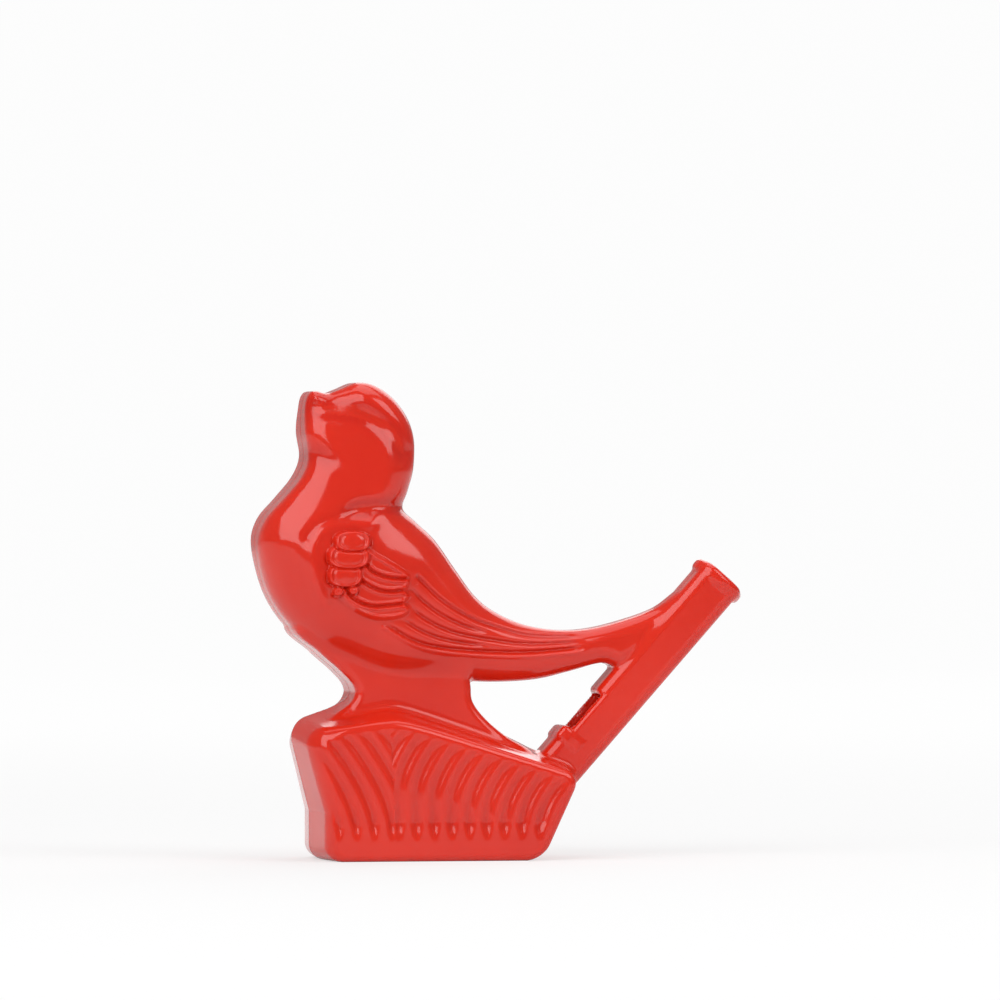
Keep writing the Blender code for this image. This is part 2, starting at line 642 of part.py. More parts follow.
def mirrored(mesh, name):
    """A copy of the mesh on the other side of the parting plane."""
    copy = mesh.copy()
    copy.name = name
    model = bmesh.new()
    model.from_mesh(copy)
    bmesh.ops.scale(model, vec=(1, -1, 1), verts=model.verts)
    bmesh.ops.reverse_faces(model, faces=model.faces)
    model.to_mesh(copy)
    model.free()
    return copy


def red_plastic(name):
    material = bpy.data.materials.new(name)
    material.use_nodes = True
    shader = material.node_tree.nodes["Principled BSDF"]
    shader.inputs["Base Color"].default_value = PLASTIC
    shader.inputs["Roughness"].default_value = PLASTIC_ROUGHNESS
    shader.inputs["Metallic"].default_value = 0.0
    return material


def add_shell(name, mesh):
    mesh.materials.clear()
    mesh.materials.append(red_plastic(name + "_plastic"))
    mesh.shade_smooth()
    mesh.set_sharp_from_angle(angle=math.radians(SHARP_ANGLE))
    shell = bpy.data.objects.new(name, mesh)
    bpy.context.scene.collection.objects.link(shell)


def main():
    for old in list(bpy.data.objects):
        bpy.data.objects.remove(old)
    left = parted(thinned(half_mesh("left_shell")))
    right = mirrored(left, "right_shell")
    add_shell("left_shell", left)
    add_shell("right_shell", right)


main()
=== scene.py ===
"""Looks of a bird water whistle on a tree stump: two glossy moulded shells on a pale stage."""

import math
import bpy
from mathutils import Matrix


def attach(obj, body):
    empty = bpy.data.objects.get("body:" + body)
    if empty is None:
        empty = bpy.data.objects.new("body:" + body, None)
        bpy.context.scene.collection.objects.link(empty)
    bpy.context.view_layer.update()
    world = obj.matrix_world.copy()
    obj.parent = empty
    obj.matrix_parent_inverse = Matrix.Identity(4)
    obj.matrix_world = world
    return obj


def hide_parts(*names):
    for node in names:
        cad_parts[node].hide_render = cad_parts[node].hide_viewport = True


bl_info = {
    "name": "Bird water whistle",
    "version": (1, 0, 0),
    "blender": (4, 5, 0),
    "location": "3D View > Sidebar > Whistle",
    "description": "Moulds the two shells of a bird water whistle and sets a pale stage round them",
    "category": "Add Mesh",
}

import bmesh
import bpy
import numpy as np
from mathutils import Vector

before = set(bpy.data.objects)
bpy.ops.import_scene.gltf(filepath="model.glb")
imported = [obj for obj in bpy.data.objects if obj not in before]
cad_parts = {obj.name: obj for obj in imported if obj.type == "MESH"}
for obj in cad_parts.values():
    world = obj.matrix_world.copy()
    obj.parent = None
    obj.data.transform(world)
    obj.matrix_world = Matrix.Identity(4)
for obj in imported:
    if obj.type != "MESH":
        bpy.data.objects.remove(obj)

# The form's lengths are in millimetres and its angles in degrees. MIDDLE_X is moved to the origin
TO_METRES = 0.001
MIDDLE_X = 0.33
WALL = 1.4

# Net over the form: how its samples are settled, its points snapped and its corners shaded
SETTLE = 0.02
SETTLE_ROUNDS = 3
FLAT_SNAP = 0.03
SHARP_ANGLE = 40
NORMAL_TRUST = 24
SNAP = 1e-6
SLOPE_STEP = 0.01
LEAST_STEEPNESS = 0.2

# Strip by the parting plane that isn't refined, and the zone of the tail that is
SEAM_ZONE = 0.5
TAIL_ZONE = (
    (-22.5, 40.0), (-14.5, 49.5), (-8.0, 44.0), (1.0, 39.0), (12.0, 37.6), (17.0, 37.6), (17.0, 33.0),
    (4.0, 32.5), (-4.0, 32.6), (-12.0, 33.4),
)

# Stump
STUMP_HALF_DEPTH = 12.0
STUMP_EDGE = 1.1
STUMP_SIDE_EDGE = 4.2
STUMP_SIDE_ZONE = 8.0
STUMP_CORNER = 2.6
STUMP_SHOULDER = 3.2
STUMP_LEFT = -34.1
STUMP_LEFT_HEIGHT = 20.0
STUMP_LEFT_LEAN = 0.25
STUMP_LEFT_FOOT = 8.0
STUMP_RIGHT = 12.9
STUMP_RIGHT_LEAN = 0.46
STUMP_RIGHT_HEIGHT = 13.5
STUMP_SIDE_DRAFT = 0.10
STUMP_PEAK_X = -18.5
STUMP_PEAK_HEIGHT = 28.2
STUMP_PEAK_ROUND = 2.5
STUMP_PEAK_FALL_LEFT = 0.36
STUMP_PEAK_FALL_RIGHT = 0.42
STUMP_FRONT_HEIGHT = 23.2
STUMP_FRONT_FALL_LEFT = 0.16
STUMP_FRONT_FALL_RIGHT = 0.31
GRAIN_PITCH = 2.9
GRAIN_DEPTH = 0.6
GRAIN_FOOT_HEIGHT = 3.3
GRAIN_FOOT_RAMP = 3.2
GRAIN_FOOT_NARROW = 1.0
GRAIN_FOOT_POINT = 2.5
GRAIN_TOP_FADE = 3.5
GRAIN_EASE = 0.5
GRAIN_EASE_REACH = 7.0
GRAIN_LEFT_SHARP = 1.7
GRAIN_RIGHT_SHARP = 0.8
GRAIN_LEFT_START = -19.5
GRAIN_LEFT_REACH = 16.5
GRAIN_LEFT_SPREAD = 8.4
GRAIN_LEFT_BEND = 1.4
GRAIN_RIGHT_START = -18.3
GRAIN_RIGHT_REACH = 11.0
GRAIN_RIGHT_SPREAD = 5.0
GRAIN_RIGHT_BEND = 1.6
GRAIN_PARTING = 0.12
GRAIN_MARGIN = 1.6
GRAIN_INSET = 0.3

# Mouthpiece tube, placed from the middle of its mouth and running down at an angle
MOUTH_X = 37.6
MOUTH_Z = 46.05
TUBE_ANGLE = 48.5
TUBE_LENGTH = 45.0
TUBE_HALF_WIDTH = 3.85
TUBE_HALF_DEPTH = 4.3
TUBE_EDGE = 1.9
BEAD_RADIUS = 4.75
BEAD_LENGTH = 2.2
BEAD_EDGE = 0.9
BEAD_FILLET = 0.5
LIP_FILLET = 0.4
TUBE_WALL = 1.1
BORE_EDGE = 0.5
MOUTH_BORE_DEPTH = 6.5
WINDWAY_HALF_WIDTH = 2.2
WINDWAY_HEIGHT = 1.1
WINDWAY_OVERLAP = 0.5
RECESS_DEPTH = 1.0
RECESS_EDGE = 0.9
WINDOW_START = 28.4
WINDOW_FLOOR = 6.2
WINDOW_BREACH = 0.25
WINDOW_CLEARANCE = 1.2
WINDOW_EDGE = 0.4
OPENING_EDGE = 0.1
LIP_RISE = 0.35
LIP_START = 35.7
LIP_LENGTH = 2.8

# Leg between the bird and the stump
LEG_HALF_DEPTH = 6.6
LEG_EDGE = 1.4

# Fillets where the forms meet, and the rounded edge of the chamber beside the tube
FILLET = 1.2
TUBE_FILLET = 0.8
CHAMBER_EDGE = 0.3

# Outline of the bird in the parting plane, from the throat over the head and back, round the tail and belly
BIRD_OUTLINE = (
    (-40.1, 51.2), (-39.0, 55.4), (-36.0, 58.9), (-33.2, 62.3), (-32.0, 65.5), (-32.5, 69.9), (-32.3, 73.9),
    (-31.7, 75.8), (-30.6, 76.3), (-28.6, 75.9), (-26.5, 76.6), (-23.6, 77.7), (-20.6, 77.1), (-17.6, 74.9),
    (-15.3, 71.6), (-14.3, 67.9), (-14.5, 63.5), (-15.4, 60.1), (-16.1, 57.2), (-14.2, 55.1), (-10.9, 52.0),
    (-7.4, 47.1), (-4.2, 42.9), (-0.8, 40.3), (4.2, 38.2), (9.8, 37.3), (15.0, 37.5), (20.6, 38.8),
    (26.0, 40.7), (30.4, 43.3), (31.4, 40.5), (26.0, 35.0), (20.5, 31.4), (17.0, 31.9), (11.5, 30.5),
    (5.5, 29.2), (-3.0, 28.9), (-12.0, 29.8), (-20.0, 31.0), (-26.5, 33.4), (-31.6, 35.6), (-35.6, 39.2),
    (-38.6, 44.4),
)
OUTLINE_STEPS = 6

# Places in the bird: x, z, half depth there, radius of the edge there
BIRD_PLACES = (
    (-31.6, 75.6, 4.4, 1.8),
    (-34.0, 66.0, 8.0, 1.6),
    (-23.0, 70.0, 9.0, 6.0),
    (-25.0, 59.0, 9.4, 6.0),
    (-28.0, 49.0, 11.8, 10.0),
    (-23.0, 40.0, 11.6, 8.0),
    (-10.0, 42.0, 9.0, 6.0),
    (0.0, 35.5, 6.8, 4.4),
    (10.0, 34.0, 5.4, 3.2),
    (20.0, 36.5, 4.2, 2.4),
    (29.0, 42.0, 3.0, 2.2),
)
PLACE_REACH = 6.5
PLACE_LEAST_WEIGHT = 1e-9

# Outline of the leg, from the bird's belly down to the stump
LEG_OUTLINE = (
    (-33.6, 38.0), (-30.4, 34.0), (-26.8, 30.8), (-24.6, 28.2), (-24.9, 26.0), (-28.0, 22.0), (-20.0, 17.0),
    (2.0, 15.0), (4.4, 17.4), (0.4, 20.2), (-2.8, 22.9), (-5.0, 25.8), (-5.4, 29.0), (-7.0, 35.0),
    (-20.0, 39.0),
)

# Relief on the bird's sides
WING_RISE = 0.7
WING_EDGE = 0.7
WING_MARGIN = 0.8
WING_OUTLINE = (
    (-26.1, 53.7), (-28.0, 52.9), (-29.5, 50.7), (-29.9, 48.2), (-29.4, 45.3), (-28.1, 42.6), (-25.7, 40.4),
    (-22.2, 39.0), (-18.5, 39.1), (-16.5, 39.9), (-16.1, 41.0), (-16.7, 41.9), (-16.0, 42.9), (-16.6, 43.9),
    (-16.1, 45.1), (-16.5, 46.9), (-20.0, 49.1), (-22.5, 50.6), (-23.2, 52.4), (-24.4, 53.5),
)
# Coverts, the upper ones first: x, z, half width, half height
WING_COVERTS = (
    (-25.9, 51.9, 2.95, 1.65),
    (-26.6, 49.4, 3.4, 1.95),
    (-27.2, 46.4, 2.75, 1.9),
    (-28.4, 43.8, 0.75, 0.75),
    (-25.9, 44.0, 0.75, 0.75),
)
COVERT_SQUARENESS = 2.6
COVERT_RISE = 0.56
COVERT_EDGE = 0.6
COVERT_CROWN = 0.25
COVERT_GROOVE = 0.45
RIM_RISE = 0.24
RIM_GROOVE = 0.25
RIM_INSET = 0.55
RIM_OFFSET = 0.5
RIM_WIDTH = 0.28
FEATHER_GROOVE_DEPTH = 0.42
FEATHER_GROOVE_WIDTH = 0.32
FEATHER_TIP = 1.0
FEATHER_LINES = (
    ((-23.8, 48.3), (-22.5, 46.9), (-19.7, 46.0), (-16.4, 45.8)),
    ((-24.8, 45.7), (-23.0, 44.6), (-20.4, 43.8), (-16.4, 44.0)),
    ((-27.3, 44.6), (-25.8, 42.6), (-22.4, 41.4), (-16.6, 41.9)),
)
TAIL_GROOVE_DEPTH = 0.45
TAIL_GROOVE_WIDTH = 0.5
TAIL_GROOVES = 5
TAIL_GROOVE_END = 15.0
TAIL_GROOVE_STAGGER = 17.0
TAIL_GROOVE_START = 1.5
UNDER_RIDGE_DROP = 0.7
UNDER_RIDGE_WIDTH = 0.6
UNDER_RIDGE_RISE = 0.35
TAIL_GROOVE_FADE = 4.0
TAIL_TOP_LINE = ((-14.9, 46.0), (-10.7, 42.3), (-5.7, 39.4), (-0.7, 37.7), (5.0, 36.4), (14.0, 36.3))
TAIL_LOW_LINE = ((-20.5, 38.6), (-15.9, 36.0), (-11.3, 34.7), (-4.0, 34.0), (4.0, 33.8), (15.0, 34.6))
GROOVE_FADE = 4.5
NECK_GROOVE_DEPTH = 0.9
NECK_GROOVE_WIDTH = 1.7
NECK_LINE = ((-28.6, 56.2), (-22.7, 57.4), (-14.0, 57.4))
SHOULDER_GROOVE_DEPTH = 0.4
SHOULDER_GROOVE_WIDTH = 1.5
SHOULDER_LINE = ((-32.8, 52.6), (-31.0, 54.4), (-28.6, 55.3), (-23.0, 55.6))
CROWN_GROOVE_DEPTH = 0.9
CROWN_GROOVE_WIDTH = 2.7
CROWN_LINE = ((-31.3, 73.4), (-26.5, 73.3), (-22.4, 72.2), (-18.8, 69.6), (-16.6, 66.4))
CHEEK_GROOVE_DEPTH = 0.6
CHEEK_GROOVE_WIDTH = 2.3
CHEEK_LINE = ((-33.0, 66.6), (-31.0, 65.8), (-28.5, 64.7), (-26.0, 63.4))
# Soft ring that stands round the front and top of the wing
SWELL_RISE = 0.45
SWELL_WIDTH = 1.5
SWELL_LINE = (
    (-30.6, 41.8), (-31.8, 44.4), (-32.4, 47.6), (-32.3, 50.8), (-31.2, 53.3), (-29.2, 54.6), (-26.2, 55.2),
    (-22.8, 54.9),
)

# Space sampled round one half
SPAN_X = (-43.0, 43.5)
SPAN_Y = (-14.0, 1.3)
SPAN_Z = (-1.5, 80.5)

# Noise in the plastic, the limits between which its values count, and its shares in colour, gloss and skin
CLOUD_NOISE = {"scale": 60.0, "detail": 2.0}
CLOUD_LIMITS = (0.35, 0.7)
CLOUD_SHADE = 0.35
# Share of the darker colour deep in the carving, which is painted shade
CARVING_PAINTED_SHADE = 0.45
FLOW_NOISE = {"scale": 110.0, "detail": 3.0, "stretch": (1.0, 1.0, 0.35)}
FLOW_ROUGHNESS = 0.05
SCUFF_NOISE = {"scale": 520.0, "detail": 6.0, "roughness": 0.7}
SCUFF_LIMITS = (0.56, 0.72)
RUB_NOISE = {"scale": 40.0, "detail": 1.0}
RUB_LIMITS = (0.45, 0.65)
FINE_SKIN_NOISE = {"scale": 1400.0, "detail": 2.0}
FINE_SKIN_SHARE = 0.4
BROAD_SKIN_NOISE = {"scale": 260.0, "detail": 2.0}
BROAD_SKIN_SHARE = 0.6
SKIN_DEPTH = 0.0001
PLASTIC_IOR = 1.5
SPREAD_OF_COLOURS = (1.0, 0.16, 0.06)
SPREAD_REACH = 0.0025

# Stage, in metres. The white grows even between these limits of nearness
STAGE_ROUGHNESS = 0.9
STAGE_SPECULAR = 0.1
GLOW_LIMITS = (0.98, 0.6)
BACKDROP_CURVE_CUTS = 12
LIGHT_AIM = (0.0, 0.0, 0.04)
SENSOR_WIDTH = 36.0
NEAR_CLIP = 0.01
# Softboxes: name, place, width, and the stage's setting that gives the power
SOFTBOXES = (
    ("key_softbox", (-0.8, -0.8, 0.8), 1.2, "key_power"),
    ("fill_softbox", (0.75, -0.75, 0.85), 0.8, "fill_power"),
    ("top_softbox", (0.1, 0.1, 1.1), 0.9, "top_power"),
    ("back_softbox", (0.5, 1.1, 0.8), 1.0, "back_power"),
)

# Sockets of the Mix node that carry its share and its colours
MIX_SHARE = 0
MIX_FIRST = 6
MIX_SECOND = 7
MIX_RESULT = 2


def joined(first, second, radius):
    """Union of two fields with a fillet of this radius in the corner."""
    corner = np.hypot(np.maximum(radius - first, 0), np.maximum(radius - second, 0))
    return np.maximum(radius, np.minimum(first, second)) - corner


def common(first, second, radius):
    """Intersection of two fields with its outside edge rounded to this radius."""
    edge = np.hypot(np.maximum(first + radius, 0), np.maximum(second + radius, 0))
    return np.minimum(-radius, np.maximum(first, second)) + edge


def cut(field, tool, radius):
    """The field with another taken away."""
    return common(field, -tool, radius)


def smooth_step(share):
    """0 up to a share of 0, 1 from a share of 1, and an even S between."""
    share = np.clip(share, 0.0, 1.0)
    return share * share * (3.0 - 2.0 * share)


def curve_through(points, closed):
    """Catmull-Rom curve through the points."""
    points = np.array(points, float)
    if closed:
        padded = np.vstack([points[-1:], points, points[:2]])
    else:
        padded = np.vstack([2 * points[:1] - points[1:2], points, 2 * points[-1:] - points[-2:-1]])
    shares = np.arange(OUTLINE_STEPS)[:, None] / OUTLINE_STEPS
    spans = []
    for before, start, end, after in zip(padded, padded[1:], padded[2:], padded[3:]):
        first = end - before
        second = 2 * before - 5 * start + 4 * end - after
        third = 3 * start - before - 3 * end + after
        spans.append(start + 0.5 * shares * (first + shares * (second + shares * third)))
    if not closed:
        spans.append(points[-1:])
    return np.vstack(spans)


def distance_to_line(line, x, z):
    """Distance to the nearest point of a chain of straight spans."""
    nearest = np.full(np.broadcast(x, z).shape, np.inf)
    for (start_x, start_z), (end_x, end_z) in zip(line, line[1:]):
        run_x = end_x - start_x
        run_z = end_z - start_z
        share = ((x - start_x) * run_x + (z - start_z) * run_z) / (run_x**2 + run_z**2)
        share = np.clip(share, 0.0, 1.0)
        gap = np.hypot(x - start_x - share * run_x, z - start_z - share * run_z)
        nearest = np.minimum(nearest, gap)
    return nearest


def plan_field(outline, x, z):
    """Distance to a closed outline, negative inside it."""
    ring = np.vstack([outline, outline[:1]])
    inside = np.zeros(np.broadcast(x, z).shape, bool)
    for (start_x, start_z), (end_x, end_z) in zip(ring, ring[1:]):
        spans = (start_z > z) != (end_z > z)
        rise = end_z - start_z
        cross_x = start_x + (z - start_z) * (end_x - start_x) / (rise if rise else 1.0)
        inside ^= spans & (x < cross_x)
    gap = distance_to_line(ring, x, z)
    return np.where(inside, -gap, gap)


def outline_field(points, x, z):
    """Distance to the smooth closed curve through the points, negative inside it."""
    return plan_field(curve_through(points, closed=True), x, z)


def bead(gap, width):
    """Rounded profile that is 1 in the middle and fades out at about its width."""
    share = gap / width
    return np.exp(-2.0 * share * share)


def groove(line, width, depth, x, z):
    """How much a round-bottomed groove along a line takes off a side."""
    return depth * bead(distance_to_line(line, x, z), width)


def along_tube(x, z):
    """Place along the tube from its mouth, and across it towards the bird."""
    angle = math.radians(TUBE_ANGLE)
    down = (MOUTH_X - x) * math.cos(angle) + (MOUTH_Z - z) * math.sin(angle)
    across = (MOUTH_X - x) * math.sin(angle) - (MOUTH_Z - z) * math.cos(angle)
    return down, across


def place_values(x, z):
    """Half depth and edge radius of the bird, blended between its named places."""
    total = 0.0
    depth = 0.0
    edge = 0.0
    for place_x, place_z, place_depth, place_edge in BIRD_PLACES:
        gap = (x - place_x) ** 2 + (z - place_z) ** 2
        weight = np.exp(-gap / (2 * PLACE_REACH**2)) + PLACE_LEAST_WEIGHT / (1.0 + gap)
        total = total + weight
        depth = depth + weight * place_depth
        edge = edge + weight * place_edge
    return depth / total, edge / total


def covert_inside(place, x, z):
    """About the distance in from a covert's rounded edge."""
    centre_x, centre_z, half_width, half_height = place
    along = np.abs((x - centre_x) / half_width) ** COVERT_SQUARENESS
    across = np.abs((z - centre_z) / half_height) ** COVERT_SQUARENESS
    return half_height * (1.0 - (along + across) ** (1.0 / COVERT_SQUARENESS))


def covert_rise(x, z):
    """Round feathers at the wing's shoulder. Each lies over the next one down and has a rim at both ends."""
    rise = 0.0
    for place in reversed(WING_COVERTS):
        centre_x, centre_z, half_width, half_height = place
        inside = covert_inside(place, x, z)
        at_ends = smooth_step(np.abs(x - centre_x) / half_width)
        below = smooth_step(0.5 - (z - centre_z) / (2 * half_height))
        outer = COVERT_GROOVE * bead(np.minimum(inside, 0.0), FEATHER_GROOVE_WIDTH) * below
        dome = smooth_step(inside / COVERT_EDGE + 0.5) + COVERT_CROWN * smooth_step(inside / half_height)
        rim = RIM_RISE * bead(inside - RIM_INSET / 2, RIM_WIDTH)
        rim = rim - RIM_GROOVE * bead(inside - RIM_INSET, RIM_WIDTH)
        share = smooth_step(inside / RIM_WIDTH + 0.5)
        rise = (rise - outer) * (1.0 - share) + (COVERT_RISE * dome + rim * at_ends) * share
    return rise


def covert_share(x, z):
    """1 on the coverts, 0 away from them."""
    share = 0.0
    for place in WING_COVERTS:
        inside = covert_inside(place, x, z)
        share = np.maximum(share, smooth_step(inside / RIM_WIDTH + 0.5))
    return share


def edged_groove(line, width, depth, x, z):
    """How much a narrow groove with a fine raised bead on each side takes off."""
    gap = distance_to_line(line, x, z)
    return depth * bead(gap, width) - RIM_RISE * bead(gap - RIM_OFFSET, RIM_WIDTH)


def tail_lines():
    """Grooves of the tail, fanned between its top and low lines."""
    top = curve_through(TAIL_TOP_LINE, closed=False)
    low = curve_through(TAIL_LOW_LINE, closed=False)
    shares = [index / (TAIL_GROOVES - 1) for index in range(TAIL_GROOVES)]
    return [low + (top - low) * share for share in shares]


def smooth_groove(points, width, depth, x, z):
    """A groove along a smooth curve through the points."""
    return groove(curve_through(points, closed=False), width, depth, x, z)


def wing_rise(wing, x, z):
    """Rise of the wing with its rim, feathers and coverts. wing is the distance in from its outline."""
    rise = WING_RISE * smooth_step(wing / WING_EDGE)
    rise = rise + RIM_RISE * bead(wing - RIM_OFFSET - WING_EDGE / 2, RIM_WIDTH)
    feathers = []
    for points in FEATHER_LINES:
        line = curve_through(points, closed=False)
        feathers.append(edged_groove(line, FEATHER_GROOVE_WIDTH, FEATHER_GROOVE_DEPTH, x, z))
    lines = sum(feathers) * smooth_step(wing / FEATHER_TIP)
    clear_of_coverts = 1.0 - covert_share(x, z)
    return (rise - lines) * clear_of_coverts + WING_RISE * (1.0 - clear_of_coverts) + covert_rise(x, z)


def tail_rise(wing, x, z):
    """Ridge under the tail, less the grooves fanned over it between the wing and the tube."""
    lines = tail_lines()
    grooves = []
    for index, line in enumerate(lines):
        end = TAIL_GROOVE_END - TAIL_GROOVE_STAGGER * (index % 2)
        share = smooth_step((end - x) / TAIL_GROOVE_FADE)
        grooves.append(groove(line, TAIL_GROOVE_WIDTH, TAIL_GROOVE_DEPTH, x, z) * share)
    under = lines[0] - np.array((0.0, UNDER_RIDGE_DROP))
    ridge = groove(under, UNDER_RIDGE_WIDTH, UNDER_RIDGE_RISE, x, z)
    fade = smooth_step((TAIL_GROOVE_END - x) / TAIL_GROOVE_FADE) * (1.0 - smooth_step(wing / WING_EDGE))
    fade = fade * smooth_step(-wing / TAIL_GROOVE_START)
    return (ridge - np.maximum.reduce(grooves)) * fade


def body_rise(wing, x, z):
    """Soft swell round the wing, less the folds of neck, shoulder, cheek and crown."""
    neck_fade = smooth_step((x - NECK_LINE[0][0]) / GROOVE_FADE)
    cheek_fade = smooth_step((CHEEK_LINE[-1][0] - x) / GROOVE_FADE)
    folds = smooth_groove(NECK_LINE, NECK_GROOVE_WIDTH, NECK_GROOVE_DEPTH, x, z) * neck_fade
    folds = folds + smooth_groove(SHOULDER_LINE, SHOULDER_GROOVE_WIDTH, SHOULDER_GROOVE_DEPTH, x, z)
    folds = folds + smooth_groove(CHEEK_LINE, CHEEK_GROOVE_WIDTH, CHEEK_GROOVE_DEPTH, x, z) * cheek_fade
    folds = folds + smooth_groove(CROWN_LINE, CROWN_GROOVE_WIDTH, CROWN_GROOVE_DEPTH, x, z)
    swell = smooth_groove(SWELL_LINE, SWELL_WIDTH, SWELL_RISE, x, z)
    return swell * (1.0 - smooth_step(wing / WING_EDGE)) - folds


def bird_relief(x, z):
    """Rise of the carving on the bird's sides."""
    wing = -outline_field(WING_OUTLINE, x, z)
    return wing_rise(wing, x, z) + tail_rise(wing, x, z) + body_rise(wing, x, z)


def bird_field(x, y, z, relief):
    """The bird, with its carving or plain."""
    plan = outline_field(BIRD_OUTLINE, x, z)
    depth, edge = place_values(x, z)
    if relief:
        depth = depth + bird_relief(x, z)
    return common(np.abs(y) - depth, plan, edge)


def leg_field(x, y, z):
    """The leg that carries the bird on the stump."""
    plan = outline_field(LEG_OUTLINE, x, z)
    return common(np.abs(y) - LEG_HALF_DEPTH, plan, LEG_EDGE)


def ridge_line(x, height, fall_left, fall_right):
    """A line that falls away on both sides of the stump's peak and is rounded over there."""
    run = x - STUMP_PEAK_X
    mean_fall = (fall_right + fall_left) / 2
    turn = (fall_right - fall_left) / 2
    return height - mean_fall * np.hypot(run, STUMP_PEAK_ROUND) - turn * run


def stump_top(x, y):
    """Height of the stump's top: it slopes from a ridge in the parting plane down to its front edge."""
    ridge = ridge_line(x, STUMP_PEAK_HEIGHT, STUMP_PEAK_FALL_LEFT, STUMP_PEAK_FALL_RIGHT)
    front = ridge_line(x, STUMP_FRONT_HEIGHT, STUMP_FRONT_FALL_LEFT, STUMP_FRONT_FALL_RIGHT)
    return ridge + (front - ridge) * np.abs(y) / STUMP_HALF_DEPTH


def grain(x, z):
    """Depth of the carved grain: channels that lean away from the centre towards the top."""
    drop = stump_top(x, STUMP_HALF_DEPTH) - z
    lean_left = GRAIN_LEFT_SPREAD * np.clip(1.0 - drop / GRAIN_LEFT_REACH, 0.0, 1.0) ** GRAIN_LEFT_BEND
    lean_right = GRAIN_RIGHT_SPREAD * np.clip(1.0 - drop / GRAIN_RIGHT_REACH, 0.0, 1.0) ** GRAIN_RIGHT_BEND
    middle = (GRAIN_LEFT_START + GRAIN_RIGHT_START) / 2
    on_left = x < middle - GRAIN_PARTING * lean_left
    turn_left = (x - GRAIN_LEFT_START + lean_left) / GRAIN_PITCH
    turn_right = (x - GRAIN_RIGHT_START - lean_right) / GRAIN_PITCH
    channel = 0.5 + 0.5 * np.cos(2 * math.pi * np.where(on_left, turn_left, turn_right))
    climb = np.clip((z - GRAIN_FOOT_HEIGHT) / GRAIN_LEFT_REACH, 0.0, 1.0)
    foot = smooth_step((z - GRAIN_FOOT_HEIGHT) / GRAIN_FOOT_RAMP)
    sharp = np.where(on_left, GRAIN_LEFT_SHARP, GRAIN_RIGHT_SHARP)
    sharp = sharp + GRAIN_FOOT_NARROW * (1.0 - climb) + GRAIN_FOOT_POINT * (1.0 - foot)
    ease = 1.0 - GRAIN_EASE * smooth_step((z - GRAIN_FOOT_HEIGHT) / GRAIN_EASE_REACH)
    fade = smooth_step(drop / GRAIN_TOP_FADE) * ease
    return GRAIN_DEPTH * channel**sharp * foot * fade


def stump_sides(x, y, z):
    """Left side, right side, top and foot of the stump, without its front and back."""
    lean = 1.0 / math.hypot(1.0, STUMP_LEFT_LEAN)
    drop = STUMP_LEFT_HEIGHT - np.maximum(z, STUMP_LEFT_FOOT)
    left = (STUMP_LEFT + STUMP_LEFT_LEAN * drop - x + STUMP_SIDE_DRAFT * np.abs(y)) * lean
    lean = 1.0 / math.hypot(1.0, STUMP_RIGHT_LEAN)
    rise = z - STUMP_RIGHT_HEIGHT
    right = (x - STUMP_RIGHT - STUMP_RIGHT_LEAN * rise + STUMP_SIDE_DRAFT * np.abs(y)) * lean
    slope = (STUMP_PEAK_HEIGHT - STUMP_FRONT_HEIGHT) / STUMP_HALF_DEPTH
    top = (z - stump_top(x, y)) / math.hypot(1.0, slope)
    body = common(common(top, left, STUMP_SHOULDER), right, STUMP_CORNER)
    return common(body, -z, STUMP_CORNER)


def stump_field(x, y, z, relief):
    """The stump, with its grain or plain."""
    sides = stump_sides(x, y, z)
    depth = STUMP_HALF_DEPTH
    if relief:
        inset = smooth_step((-stump_sides(x, STUMP_HALF_DEPTH, z) - GRAIN_INSET) / GRAIN_MARGIN)
        depth = depth - grain(x, z) * inset
    side_share = smooth_step((STUMP_LEFT + STUMP_SIDE_ZONE - x) / STUMP_SIDE_ZONE)
    edge = STUMP_EDGE + (STUMP_SIDE_EDGE - STUMP_EDGE) * side_share
    return common(np.abs(y) - depth, sides, edge)


def recess_field(down, across):
    """Step let into the tube's upper side round the window."""
    middle = (WINDOW_START + LIP_START) / 2
    ends = np.abs(down - middle) - (LIP_START - WINDOW_START) / 2
    return np.maximum(ends, TUBE_HALF_WIDTH - RECESS_DEPTH - across)


def tube_field(x, y, z):
    """The mouthpiece tube with its bead, the step round the window and the lip below it."""
    down, across = along_tube(x, z)
    section = common(np.abs(across) - TUBE_HALF_WIDTH, np.abs(y) - TUBE_HALF_DEPTH, TUBE_EDGE)
    tube = common(section, np.abs(down - TUBE_LENGTH / 2) - TUBE_LENGTH / 2, BEAD_EDGE)
    tube = cut(tube, recess_field(down, across), RECESS_EDGE)
    collar = np.hypot(across, y) - BEAD_RADIUS
    collar = common(collar, np.abs(down - BEAD_LENGTH / 2) - BEAD_LENGTH / 2, BEAD_EDGE)
    lip_middle = LIP_START + LIP_LENGTH / 2
    lip = common(np.abs(down - lip_middle) - LIP_LENGTH / 2, np.abs(y) - TUBE_HALF_DEPTH, BEAD_EDGE)
    lip = common(lip, across - TUBE_HALF_WIDTH - LIP_RISE, BEAD_EDGE)
    lip = np.maximum(lip, -across)
    return joined(joined(tube, collar, BEAD_FILLET), lip, LIP_FILLET)


